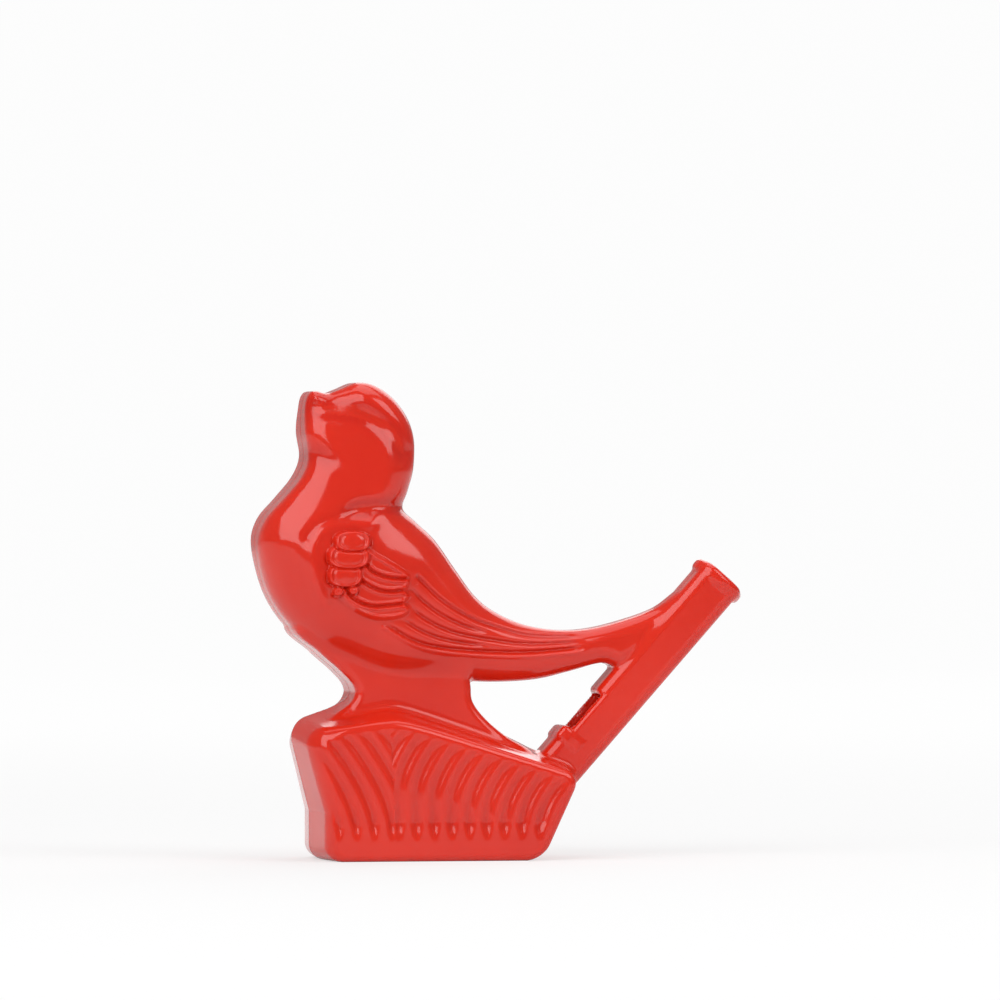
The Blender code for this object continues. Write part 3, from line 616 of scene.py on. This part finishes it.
def window_field(x, y, z):
    """Wedge cut into the tube's upper side: a square step at its head, then a ramp up to the edge."""
    down, across = along_tube(x, z)
    floor = TUBE_HALF_WIDTH - TUBE_WALL - WINDOW_BREACH
    head = WINDOW_START - down
    ramp_rise = (TUBE_HALF_WIDTH + LIP_RISE - floor) / (LIP_START - WINDOW_START - WINDOW_FLOOR)
    ramp = floor + np.maximum(down - WINDOW_START - WINDOW_FLOOR, 0.0) * ramp_rise - across
    roof = across - TUBE_HALF_WIDTH - LIP_RISE - WINDOW_CLEARANCE
    sides = np.abs(y) - (TUBE_HALF_DEPTH - TUBE_WALL)
    opening = np.maximum(np.maximum(head, roof), sides)
    return np.maximum(opening, ramp / math.hypot(1.0, ramp_rise))


def bore_field(x, y, z):
    """Sounding bore below the window, windway above it and the mouth that feeds it."""
    down, across = along_tube(x, z)
    half_width = TUBE_HALF_WIDTH - TUBE_WALL
    half_depth = TUBE_HALF_DEPTH - TUBE_WALL
    section = common(np.abs(across) - half_width, np.abs(y) - half_depth, BORE_EDGE)
    bore = np.maximum(section, np.maximum(WINDOW_START - down, down - TUBE_LENGTH - WALL))
    slit_floor = half_width - WINDWAY_HEIGHT
    slit = np.maximum(np.maximum(slit_floor - across, across - half_width), np.abs(y) - WINDWAY_HALF_WIDTH)
    slit = np.maximum(slit, np.maximum(BEAD_EDGE - down, down - WINDOW_START - WINDWAY_OVERLAP))
    slope = (slit_floor + half_width) / MOUTH_BORE_DEPTH
    mouth = np.maximum(section, (slope * down - half_width - across) / math.hypot(1.0, slope))
    mouth = np.maximum(mouth, np.maximum(-BEAD_EDGE - down, down - MOUTH_BORE_DEPTH))
    return np.minimum(np.minimum(bore, slit), mouth)


def body_field(x, y, z, relief):
    """Bird, leg and stump in one, with their carving or plain."""
    bird = bird_field(x, y, z, relief)
    stump = stump_field(x, y, z, relief)
    return joined(joined(bird, leg_field(x, y, z), FILLET), stump, FILLET)


def hollow_field(x, y, z):
    """The air and water space of bird, leg and stump, kept clear of the tube, and the tube's own bore."""
    body = body_field(x, y, z, relief=False)
    chamber = cut(body + WALL, tube_field(x, y, z), CHAMBER_EDGE)
    return np.minimum(chamber, bore_field(x, y, z))


def whistle_field(x, y, z):
    """The whole whistle: carved outside, less chamber, bore and window."""
    outside = joined(body_field(x, y, z, relief=True), tube_field(x, y, z), TUBE_FILLET)
    outside = np.maximum(outside, -z)
    hollow = joined(hollow_field(x, y, z), window_field(x, y, z), WINDOW_EDGE)
    return cut(outside, hollow, OPENING_EDGE)


def settled(field):
    """The samples with no face of four whose signs alternate, where the net would cross itself."""
    ring = ((0, 0), (1, 0), (1, 1), (0, 1))
    for first, second in ((0, 1), (1, 2), (0, 2)):
        corners = []
        for step_first, step_second in ring:
            part = [slice(None)] * 3
            part[first] = slice(step_first, field.shape[first] - 1 + step_first)
            part[second] = slice(step_second, field.shape[second] - 1 + step_second)
            corners.append(field[tuple(part)] < 0)
        crossed = (corners[0] == corners[2]) & (corners[1] == corners[3]) & (corners[0] != corners[1])
        for place in np.argwhere(crossed):
            around = []
            for step_first, step_second in ring:
                corner = place.copy()
                corner[first] += step_first
                corner[second] += step_second
                around.append(tuple(corner))
            weakest = min(around, key=lambda corner: abs(field[corner]))
            field[weakest] = -math.copysign(SETTLE, field[weakest])
    return field


def net_over(field, corners, cell):
    """Points and quads of the surface where a sampled field changes sign, one point in each crossed cell."""
    ring = ((0, 0), (-1, 0), (-1, -1), (0, -1))
    crossings = []
    quads = []
    for axis in range(3):
        low = [slice(None)] * 3
        high = [slice(None)] * 3
        low[axis] = slice(0, -1)
        high[axis] = slice(1, None)
        before = field[tuple(low)]
        after = field[tuple(high)]
        edges = np.argwhere((before < 0) != (after < 0))
        start = before[tuple(edges.T)]
        end = after[tuple(edges.T)]
        places = edges.astype(float)
        places[:, axis] += start / (start - end)
        second = (axis + 1) % 3
        third = (axis + 2) % 3
        cells = []
        for step_second, step_third in ring:
            cell_place = edges.copy()
            cell_place[:, second] += step_second
            cell_place[:, third] += step_third
            cells.append(np.ravel_multi_index(cell_place.T, field.shape))
        cells = np.stack(cells, axis=1)
        crossings.append((places, cells))
        quads.append(np.where((start < 0)[:, None], cells, cells[:, ::-1]))
    quads = np.vstack(quads)
    used, index = np.unique(quads, return_inverse=True)
    sums = np.zeros((len(used), 3))
    counts = np.zeros(len(used))
    for places, cells in crossings:
        for column in range(4):
            slots = np.searchsorted(used, cells[:, column])
            counts += np.bincount(slots, minlength=len(used))
            for part in range(3):
                sums[:, part] += np.bincount(slots, weights=places[:, part], minlength=len(used))
    points = sums / counts[:, None] * cell + np.array(corners)
    return points, index.reshape(quads.shape)


def grid_lines(cell):
    """Sample places along X, Y and Z. The last two along Y straddle the parting plane."""
    x = np.arange(SPAN_X[0], SPAN_X[1] + cell, cell)
    y = (np.arange(math.floor(SPAN_Y[0] / cell), 1) + 0.5) * cell
    z = np.arange(SPAN_Z[0], SPAN_Z[1] + cell, cell)
    return x, y, z


def half_net(cell):
    """Points and quads of the half on the -Y side, and which points are its flat parting face and its rim."""
    x, y, z = grid_lines(cell)
    y_of = y[None, :, None]
    field = whistle_field(x[:, None, None], y_of, z[None, None, :])
    field = np.where(y_of > 0, np.maximum(field, cell / 2), field)
    for _ in range(SETTLE_ROUNDS):
        field = settled(field)
    points, quads = net_over(field, (x[0], y[0], z[0]), cell)
    flat = points[:, 1] > -cell / 2 - SNAP
    points[flat, 1] = 0.0
    at_rim = flat[quads].any(axis=1) & ~flat[quads].all(axis=1)
    rim = np.zeros(len(points), bool)
    rim[quads[at_rim]] = True
    rim &= flat
    return points, quads, flat & ~rim, rim


def value_and_slope(points):
    """The whistle's field at the points, and its slope there along X, Y and Z."""
    value = whistle_field(*points.T)
    slopes = []
    for axis in range(3):
        ahead = points.copy()
        ahead[:, axis] += SLOPE_STEP
        slopes.append((whistle_field(*ahead.T) - value) / SLOPE_STEP)
    return value, np.stack(slopes, axis=1)


def onto_surface(points, rim, most):
    """The points moved onto the field's own surface, those of the rim within the parting plane."""
    value, slope = value_and_slope(points)
    slope[rim, 1] = 0.0
    steepness = np.maximum((slope**2).sum(axis=1), LEAST_STEEPNESS)
    travel = -value[:, None] * slope / steepness[:, None]
    length = np.maximum(np.linalg.norm(travel, axis=1), SNAP)
    return points + travel * np.minimum(most / length, 1.0)[:, None]


def active_object():
    """The object that the last operator made or worked on."""
    return bpy.context.view_layer.objects.active


def pick_only(piece):
    """Leaves this piece alone selected and active."""
    bpy.ops.object.select_all(action="DESELECT")
    piece.select_set(True)
    bpy.context.view_layer.objects.active = piece


def points_of(mesh):
    """The mesh's points as rows of X, Y and Z."""
    points = np.empty(len(mesh.vertices) * 3)
    mesh.vertices.foreach_get("co", points)
    return points.reshape(-1, 3)


def on_skin(points):
    """Which points lie on the outer skin, nearer to it than to the chamber's wall."""
    x, y, z = points.T
    skin = joined(body_field(x, y, z, relief=False), tube_field(x, y, z), TUBE_FILLET)
    return skin > -WALL / 2


def thin_inside(piece, plain, quads, inside_faces):
    """Leaves the outer skin as it is and thins the chamber's wall and the flat faces, which are smooth."""
    group = piece.vertex_groups.new(name="plain")
    group.add(np.flatnonzero(plain).tolist(), 1.0, "REPLACE")
    kept = int((~plain[quads]).any(axis=1).sum())
    thin = piece.modifiers.new("thin", "DECIMATE")
    thin.ratio = (kept + inside_faces / 2) / len(quads)
    thin.vertex_group = group.name
    bpy.ops.object.modifier_apply(modifier=thin.name)
    piece.vertex_groups.clear()


def on_carving(points):
    """Which points of the outer skin lie on wing and tail, whose lines are finer than the net."""
    x, y, z = points.T
    wing = outline_field(WING_OUTLINE, x, z) < WING_MARGIN
    tail = plan_field(np.array(TAIL_ZONE), x, z) < 0
    return (wing | tail) & on_skin(points) & (y < -SEAM_ZONE)


def refine_carving(piece, cuts):
    """Splits the faces of the outer skin where the wing and the tail are carved."""
    carved = on_carving(points_of(piece.data))
    bpy.ops.object.mode_set(mode="EDIT")
    bpy.ops.mesh.select_all(action="DESELECT")
    model = bmesh.from_edit_mesh(piece.data)
    for face in model.faces:
        if all(carved[vert.index] for vert in face.verts):
            face.select_set(True)
    bmesh.update_edit_mesh(piece.data)
    bpy.ops.mesh.subdivide(number_cuts=cuts)
    bpy.ops.object.mode_set(mode="OBJECT")


def settle_carving(mesh, most):
    """Moves the points of the carved zones onto the surface."""
    points = points_of(mesh)
    carved = on_carving(points)
    none_at_rim = np.zeros(int(carved.sum()), bool)
    points[carved] = onto_surface(points[carved], none_at_rim, most)
    mesh.vertices.foreach_set("co", points.ravel())
    mesh.update()


def drawn_in(points, rim, depth):
    """The points with the outer skin's rim drawn a little into the wall, for a fine line at the joint."""
    places = points[rim]
    _, slope = value_and_slope(places)
    slope[:, 1] = 0.0
    length = np.maximum(np.linalg.norm(slope, axis=1), SNAP)
    outer = on_skin(places) & (places[:, 2] > FLAT_SNAP)
    points = points.copy()
    points[rim] = places - slope / length[:, None] * (depth * outer)[:, None]
    return points


def carving_depth(points):
    """How deep each point is carved, from 0 to 1, which sets the painted shade in the carving."""
    x, _, z = points.T
    on_bird = outline_field(BIRD_OUTLINE, x, z) < 0
    inset = smooth_step((-stump_sides(x, STUMP_HALF_DEPTH, z) - GRAIN_INSET) / GRAIN_MARGIN)
    depth = np.where(on_bird, -bird_relief(x, z) / TAIL_GROOVE_DEPTH, inset * grain(x, z) / GRAIN_DEPTH)
    return np.clip(depth, 0.0, 1.0) * on_skin(points)


def finish_mesh(mesh):
    """Keeps the carving's depth for the painted shade in the plastic's colour, and brings the mesh to its
    place in metres.
    """
    points = points_of(mesh)
    points[np.abs(points[:, 2]) < FLAT_SNAP, 2] = 0.0
    layer = mesh.attributes.new("carving", "FLOAT", "POINT")
    layer.data.foreach_set("value", carving_depth(points))
    points[:, 0] -= MIDDLE_X
    mesh.vertices.foreach_set("co", (points * TO_METRES).ravel())
    mesh.update()


def field_normals(points):
    """Normals of the field's own surface at the points, or none along the rim, where the seam line runs."""
    _, slope = value_and_slope(points)
    length = np.maximum(np.linalg.norm(slope, axis=1), SNAP)
    clear_of_rim = points[:, 1] < -FLAT_SNAP
    return slope / length[:, None] * clear_of_rim[:, None]


def give_normals(mesh, normals):
    """Shades each corner by the field's normal where the net's own is close to it, for an even gloss."""
    corners = np.empty(len(mesh.loops) * 3)
    mesh.corner_normals.foreach_get("vector", corners)
    corners = corners.reshape(-1, 3)
    owners = np.empty(len(mesh.loops), int)
    mesh.loops.foreach_get("vertex_index", owners)
    close = (corners * normals[owners]).sum(axis=1) > math.cos(math.radians(NORMAL_TRUST))
    mesh.normals_split_custom_set(np.where(close[:, None], normals[owners], corners).tolist())


def mould_half(name, sizes):
    """The shell on the -Y side as a mesh object at the origin, and the normals of its points."""
    points, quads, flat, rim = half_net(sizes.cell)
    points[~flat] = onto_surface(points[~flat], rim[~flat], sizes.cell / 2)
    plain = flat | ~on_skin(points)
    points = drawn_in(points, rim, sizes.seam_depth)
    mesh = bpy.data.meshes.new(name)
    mesh.from_pydata(points.tolist(), [], quads.tolist())
    piece = bpy.data.objects.new(name, mesh)
    bpy.context.scene.collection.objects.link(piece)
    pick_only(piece)
    thin_inside(piece, plain, quads, sizes.inside_faces)
    refine_carving(piece, sizes.carving_cuts)
    settle_carving(piece.data, sizes.cell / 2)
    normals = field_normals(points_of(piece.data))
    finish_mesh(piece.data)
    bpy.ops.object.shade_smooth_by_angle(angle=math.radians(SHARP_ANGLE))
    return piece, normals


def mirror_half(piece, name):
    """A copy of the shell on the other side of the parting plane."""
    pick_only(piece)
    bpy.ops.object.duplicate()
    copy = active_object()
    copy.name = name
    copy.data.name = name
    bpy.ops.object.mode_set(mode="EDIT")
    bpy.ops.mesh.select_all(action="SELECT")
    bpy.ops.transform.resize(value=(1, -1, 1), center_override=(0, 0, 0))
    bpy.ops.mesh.flip_normals()
    bpy.ops.object.mode_set(mode="OBJECT")
    return copy


class Wire:
    """A node's output, or a number, that adds Math nodes when it is used in an expression."""

    def __init__(self, tree, socket):
        self.tree = tree
        self.socket = socket

    def maths(self, operation, first, second):
        """A Math node's output from two wires or numbers."""
        node = self.tree.nodes.new("ShaderNodeMath")
        node.operation = operation
        for slot, value in zip(node.inputs, (first, second)):
            connect(self.tree, slot, value)
        return Wire(self.tree, node.outputs[0])

    def __add__(self, other):
        return self.maths("ADD", self, other)

    def __radd__(self, other):
        return self.maths("ADD", other, self)

    def __mul__(self, other):
        return self.maths("MULTIPLY", self, other)

    def __rtruediv__(self, other):
        return self.maths("DIVIDE", other, self)


def connect(tree, slot, value):
    """Links a wire to a socket, or sets a plain value on it."""
    if isinstance(value, Wire):
        tree.links.new(value.socket, slot)
    else:
        slot.default_value = value


class Recipe:
    """A material's node tree, with one method that adds any node."""

    def __init__(self, name):
        self.material = bpy.data.materials.new(name)
        self.material.use_nodes = True
        self.tree = self.material.node_tree
        self.shader = self.tree.nodes["Principled BSDF"]
        self.output = self.tree.nodes["Material Output"]

    def add(self, kind, sockets=None, output=0, **settings):
        """A new node's output, with its inputs joined up and its settings made."""
        node = self.tree.nodes.new(kind)
        for name, value in settings.items():
            setattr(node, name, value)
        for name, value in (sockets or {}).items():
            connect(self.tree, node.inputs[name], value)
        return Wire(self.tree, node.outputs[output])

    def set(self, name, value):
        """Gives one of the shader's inputs a wire or a value."""
        connect(self.tree, self.shader.inputs[name], value)

    def noise(self, scale, detail, roughness=0.5, stretch=(1.0, 1.0, 1.0)):
        """Noise over the object, in its own coordinates."""
        coordinates = self.add("ShaderNodeTexCoord", output="Object")
        place = self.add("ShaderNodeMapping", {"Vector": coordinates, "Scale": stretch})
        sockets = {"Vector": place, "Scale": scale, "Detail": detail, "Roughness": roughness}
        return self.add("ShaderNodeTexNoise", sockets)

    def ramp_between(self, value, low, high):
        """A value that climbs smoothly from 0 at low to 1 at high."""
        sockets = {"Value": value, "From Min": low, "From Max": high}
        return self.add("ShaderNodeMapRange", sockets, interpolation_type="SMOOTHSTEP")

    def blend(self, share, first, second):
        """A colour that turns from the first to the second with the share."""
        node = self.tree.nodes.new("ShaderNodeMix")
        node.data_type = "RGBA"
        for slot, value in ((MIX_SHARE, share), (MIX_FIRST, first), (MIX_SECOND, second)):
            connect(self.tree, node.inputs[slot], value)
        return Wire(self.tree, node.outputs[MIX_RESULT])


def red_plastic(finish):
    """Glossy, slightly milky red plastic with soft clouds, painted shade deep in the carving, faint scuffs
    and a fine mould texture.
    """
    recipe = Recipe("red_plastic")
    cloud = recipe.noise(**CLOUD_NOISE)
    flow = recipe.noise(**FLOW_NOISE)
    # Painted shade: the colour darkens with the depth of the carving, and the clouds darken it at random
    carving = recipe.add("ShaderNodeAttribute", output="Fac", attribute_name="carving")
    darkening = carving * CARVING_PAINTED_SHADE + recipe.ramp_between(cloud, *CLOUD_LIMITS) * CLOUD_SHADE
    recipe.set("Base Color", recipe.blend(darkening, (*finish.colour, 1.0), (*finish.cloud_and_shade_colour, 1.0)))
    scuff = recipe.ramp_between(recipe.noise(**SCUFF_NOISE), *SCUFF_LIMITS)
    rubbed = recipe.ramp_between(recipe.noise(**RUB_NOISE), *RUB_LIMITS)
    recipe.set("Roughness", finish.roughness + flow * FLOW_ROUGHNESS + scuff * rubbed * finish.scuffs)
    fine_skin = recipe.noise(**FINE_SKIN_NOISE) * FINE_SKIN_SHARE
    skin = fine_skin + recipe.noise(**BROAD_SKIN_NOISE) * BROAD_SKIN_SHARE
    sockets = {"Height": skin, "Strength": finish.texture, "Distance": SKIN_DEPTH}
    recipe.set("Normal", recipe.add("ShaderNodeBump", sockets))
    recipe.set("IOR", PLASTIC_IOR)
    recipe.set("Subsurface Weight", finish.milkiness)
    recipe.set("Subsurface Radius", SPREAD_OF_COLOURS)
    recipe.set("Subsurface Scale", SPREAD_REACH)
    return recipe.material


def stage_white(name, stage):
    """Matt white that shows as an even white to the camera and in reflections, and takes a soft shadow."""
    recipe = Recipe(name)
    recipe.set("Base Color", (*stage.floor_colour, 1.0))
    recipe.set("Roughness", STAGE_ROUGHNESS)
    recipe.set("Specular IOR Level", STAGE_SPECULAR)
    seen = recipe.add("ShaderNodeLightPath", output="Is Camera Ray")
    mirrored = recipe.add("ShaderNodeLightPath", output="Is Glossy Ray")
    through = recipe.add("ShaderNodeLightPath", output="Is Transmission Ray")
    white = recipe.add("ShaderNodeEmission", {"Color": (1.0, 1.0, 1.0, 1.0), "Strength": 1.0})
    place = recipe.add("ShaderNodeTexCoord", output="Object")
    away = recipe.add("ShaderNodeVectorMath", {0: place}, output="Value", operation="LENGTH")
    nearness = stage.camera_distance / (stage.camera_distance + away)
    evenness = recipe.ramp_between(nearness, *GLOW_LIMITS)
    glow = stage.near_glow + evenness * (stage.far_glow - stage.near_glow)
    share = seen * glow + (mirrored + through) * stage.mirrored_glow
    sockets = {0: share, 1: Wire(recipe.tree, recipe.shader.outputs[0]), 2: white}
    mixed = recipe.add("ShaderNodeMixShader", sockets)
    connect(recipe.tree, recipe.output.inputs["Surface"], mixed)
    return recipe.material


def add_backdrop(stage):
    """A floor that curves up behind the whistle, in one sheet."""
    bpy.ops.mesh.primitive_plane_add(size=1.0, location=(0, 0, 0))
    sheet = active_object()
    sheet.name = "backdrop"
    bpy.ops.object.mode_set(mode="EDIT")
    bpy.ops.mesh.select_all(action="SELECT")
    bpy.ops.transform.resize(value=(stage.width, stage.depth, 1), center_override=(0, 0, 0))
    bpy.ops.mesh.select_all(action="DESELECT")
    model = bmesh.from_edit_mesh(sheet.data)
    for edge in model.edges:
        if all(vert.co.y > 0.0 for vert in edge.verts):
            edge.select_set(True)
    bmesh.update_edit_mesh(sheet.data)
    bpy.ops.mesh.extrude_edges_move(TRANSFORM_OT_translate={"value": (0, 0, stage.height)})
    bpy.ops.mesh.select_all(action="DESELECT")
    for edge in bmesh.from_edit_mesh(sheet.data).edges:
        if all(vert.co.y > 0.0 and vert.co.z < stage.height / 2 for vert in edge.verts):
            edge.select_set(True)
    bpy.ops.mesh.bevel(offset=stage.height / 2, segments=BACKDROP_CURVE_CUTS, profile=0.5)
    bpy.ops.object.mode_set(mode="OBJECT")
    bpy.ops.object.shade_smooth()
    sheet.data.materials.append(stage_white("stage_white", stage))


def add_softbox(name, place, size, power):
    """A square soft light that faces the whistle."""
    bpy.ops.object.light_add(type="AREA", location=place)
    lamp = active_object()
    lamp.name = name
    aim = Vector(LIGHT_AIM) - Vector(place)
    lamp.rotation_euler = aim.to_track_quat("-Z", "Y").to_euler()
    lamp.data.size = size
    lamp.data.energy = power


def add_camera(stage):
    """A long lens at the height of the picture's middle, turned a little round from the side."""
    turn = stage.camera_turn
    along = Vector((math.sin(turn), math.cos(turn), 0.0))
    across = Vector((math.cos(turn), -math.sin(turn), 0.0))
    middle = across * stage.aim_across + Vector((-MIDDLE_X * TO_METRES, 0.0, stage.aim_height))
    bpy.ops.object.camera_add(location=middle - along * stage.camera_distance)
    camera = active_object()
    camera.name = "camera"
    camera.rotation_euler = along.to_track_quat("-Z", "Y").to_euler()
    camera.data.sensor_width = SENSOR_WIDTH
    camera.data.lens = SENSOR_WIDTH * stage.camera_distance / stage.frame_width
    camera.data.clip_start = NEAR_CLIP
    bpy.context.scene.camera = camera


def set_world(stage):
    """Even pale light from all round, which shows as white past the backdrop's edges."""
    world = bpy.data.worlds.new("studio")
    bpy.context.scene.world = world
    world.use_nodes = True
    tree = world.node_tree
    ground = tree.nodes["Background"]
    ground.inputs["Color"].default_value = (1.0, 1.0, 1.0, 1.0)
    seen = Wire(tree, tree.nodes.new("ShaderNodeLightPath").outputs["Is Camera Ray"])
    connect(tree, ground.inputs["Strength"], stage.room_light + seen * (stage.far_glow - stage.room_light))


def number_setting(name, description, default, **limits):
    """A number in the panel, with its limits and unit."""
    return bpy.props.FloatProperty(name=name, description=description, default=default, **limits)


def count_setting(name, description, default, **limits):
    """A whole number in the panel, with its limits."""
    return bpy.props.IntProperty(name=name, description=description, default=default, **limits)


def share_setting(name, description, default):
    """A share from 0 to 1 in the panel."""
    return number_setting(name, description, default, subtype="FACTOR", min=0.0, max=1.0)


def length_setting(name, description, default):
    """A length in metres in the panel."""
    return number_setting(name, description, default, subtype="DISTANCE", unit="LENGTH")


def power_setting(name, description, default):
    """A lamp's power in watts in the panel."""
    return number_setting(name, description, default, subtype="POWER", unit="POWER", min=0.0)


def colour_setting(name, description, default):
    """A colour in the panel."""
    return bpy.props.FloatVectorProperty(
        name=name, description=description, subtype="COLOR", size=3, default=default, min=0.0, max=1.0
    )


class WhistleSizes(bpy.types.PropertyGroup):
    cell: number_setting("Net cell", "Width of a cell of the net over the form, in mm", 0.34, min=0.2)
    inside_faces: count_setting("Faces inside", "Triangles left on the chamber's wall", 16000, min=2000)
    carving_cuts: count_setting("Carving cuts", "Cuts of each face in the carved zones", 1, min=0, max=3)
    seam_depth: number_setting("Seam depth", "Depth of the fine line along the joint, in mm", 0.10, min=0.0)


class WhistleFinish(bpy.types.PropertyGroup):
    colour: colour_setting("Plastic", "Colour of the plastic on plain faces", (0.70, 0.026, 0.010))
    # Darker colour for the clouds in the plastic, and painted shade deep in the carving
    cloud_and_shade_colour: colour_setting("Plastic in carving", "Colour deep in the carving", (0.55, 0.013, 0.005))
    roughness: share_setting("Roughness", "Roughness of the clean surface", 0.10)
    scuffs: share_setting("Scuffs", "Roughness added where the plastic is rubbed", 0.18)
    texture: share_setting("Mould texture", "Strength of the fine waviness of the skin", 0.10)
    milkiness: share_setting("Milkiness", "Share of the light that spreads inside the plastic", 0.30)


class WhistleStage(bpy.types.PropertyGroup):
    width: length_setting("Width", "Width of the backdrop", 6.0)
    depth: length_setting("Depth", "Depth of the floor", 6.0)
    height: length_setting("Height", "Height of the backdrop", 3.0)
    floor_colour: colour_setting("Floor", "Colour of floor and backdrop", (0.85, 0.85, 0.85))
    near_glow: share_setting("Even white near", "Even white that the camera sees by the whistle", 0.6)
    far_glow: share_setting("Even white far", "Even white that the camera sees far off", 0.97)
    mirrored_glow: share_setting("Mirrored white", "Even white that shows in reflections", 0.15)
    room_light: number_setting("Room light", "Strength of the light from all round", 0.22, min=0.0)
    key_power: power_setting("Key light", "Power of the large softbox on the left", 13.0)
    fill_power: power_setting("Fill light", "Power of the softbox high on the right", 6.0)
    top_power: power_setting("Top light", "Power of the softbox overhead", 4.0)
    back_power: power_setting("Back light", "Power of the softbox behind", 5.0)
    camera_turn: number_setting(
        "Camera turn", "How far the camera stands round to the breast", math.radians(11.0), subtype="ANGLE"
    )
    camera_distance: length_setting("Camera distance", "Distance from camera to whistle", 1.4)
    frame_width: length_setting("Frame width", "Width of what the camera sees at the whistle", 0.1636)
    aim_across: length_setting("Aim across", "How far right of the origin the camera looks", 0.00062)
    aim_height: length_setting("Aim height", "Height that the camera looks at", 0.05857)


class WHISTLE_OT_mould_shells(bpy.types.Operator):
    """Moulds the left and the right shell in red plastic, in place of the plain ones"""

    bl_idname = "whistle.mould_shells"
    bl_label = "Mould shells"

    def execute(self, context):
        left, normals = mould_half("left_moulding", context.scene.whistle_sizes)
        right = mirror_half(left, "right_moulding")
        give_normals(left.data, normals)
        give_normals(right.data, normals * np.array((1.0, -1.0, 1.0)))
        plastic = red_plastic(context.scene.whistle_finish)
        for piece, node in ((left, "left_shell"), (right, "right_shell")):
            piece.data.materials.clear()
            piece.data.materials.append(plastic)
            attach(piece, "root")
            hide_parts(node)
        return {"FINISHED"}


class WHISTLE_OT_set_stage(bpy.types.Operator):
    """Sets the backdrop, the soft lights, the room light and the camera"""

    bl_idname = "whistle.set_stage"
    bl_label = "Set stage"

    def execute(self, context):
        stage = context.scene.whistle_stage
        add_backdrop(stage)
        for name, place, size, power in SOFTBOXES:
            add_softbox(name, place, size, getattr(stage, power))
        set_world(stage)
        add_camera(stage)
        return {"FINISHED"}


class WHISTLE_PT_maker(bpy.types.Panel):
    """Sizes, finish and stage of the bird whistle"""

    bl_idname = "WHISTLE_PT_maker"
    bl_label = "Bird whistle"
    bl_space_type = "VIEW_3D"
    bl_region_type = "UI"
    bl_category = "Whistle"

    def draw(self, context):
        layout = self.layout
        for group in (context.scene.whistle_sizes, context.scene.whistle_finish, context.scene.whistle_stage):
            box = layout.box()
            for name in group.__annotations__:
                box.prop(group, name)
        for operator in (WHISTLE_OT_mould_shells, WHISTLE_OT_set_stage):
            layout.operator(operator.bl_idname)


CLASSES = (
    WhistleSizes,
    WhistleFinish,
    WhistleStage,
    WHISTLE_OT_mould_shells,
    WHISTLE_OT_set_stage,
    WHISTLE_PT_maker,
)


def register():
    for kind in CLASSES:
        bpy.utils.register_class(kind)
    bpy.types.Scene.whistle_sizes = bpy.props.PointerProperty(type=WhistleSizes)
    bpy.types.Scene.whistle_finish = bpy.props.PointerProperty(type=WhistleFinish)
    bpy.types.Scene.whistle_stage = bpy.props.PointerProperty(type=WhistleStage)


def unregister():
    del bpy.types.Scene.whistle_stage
    del bpy.types.Scene.whistle_finish
    del bpy.types.Scene.whistle_sizes
    for kind in reversed(CLASSES):
        bpy.utils.unregister_class(kind)


def main():
    register()
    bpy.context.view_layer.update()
    bpy.ops.whistle.mould_shells()
    bpy.ops.whistle.set_stage()
    bpy.context.scene.view_settings.view_transform = "Standard"


if __name__ == "__main__":
    main()
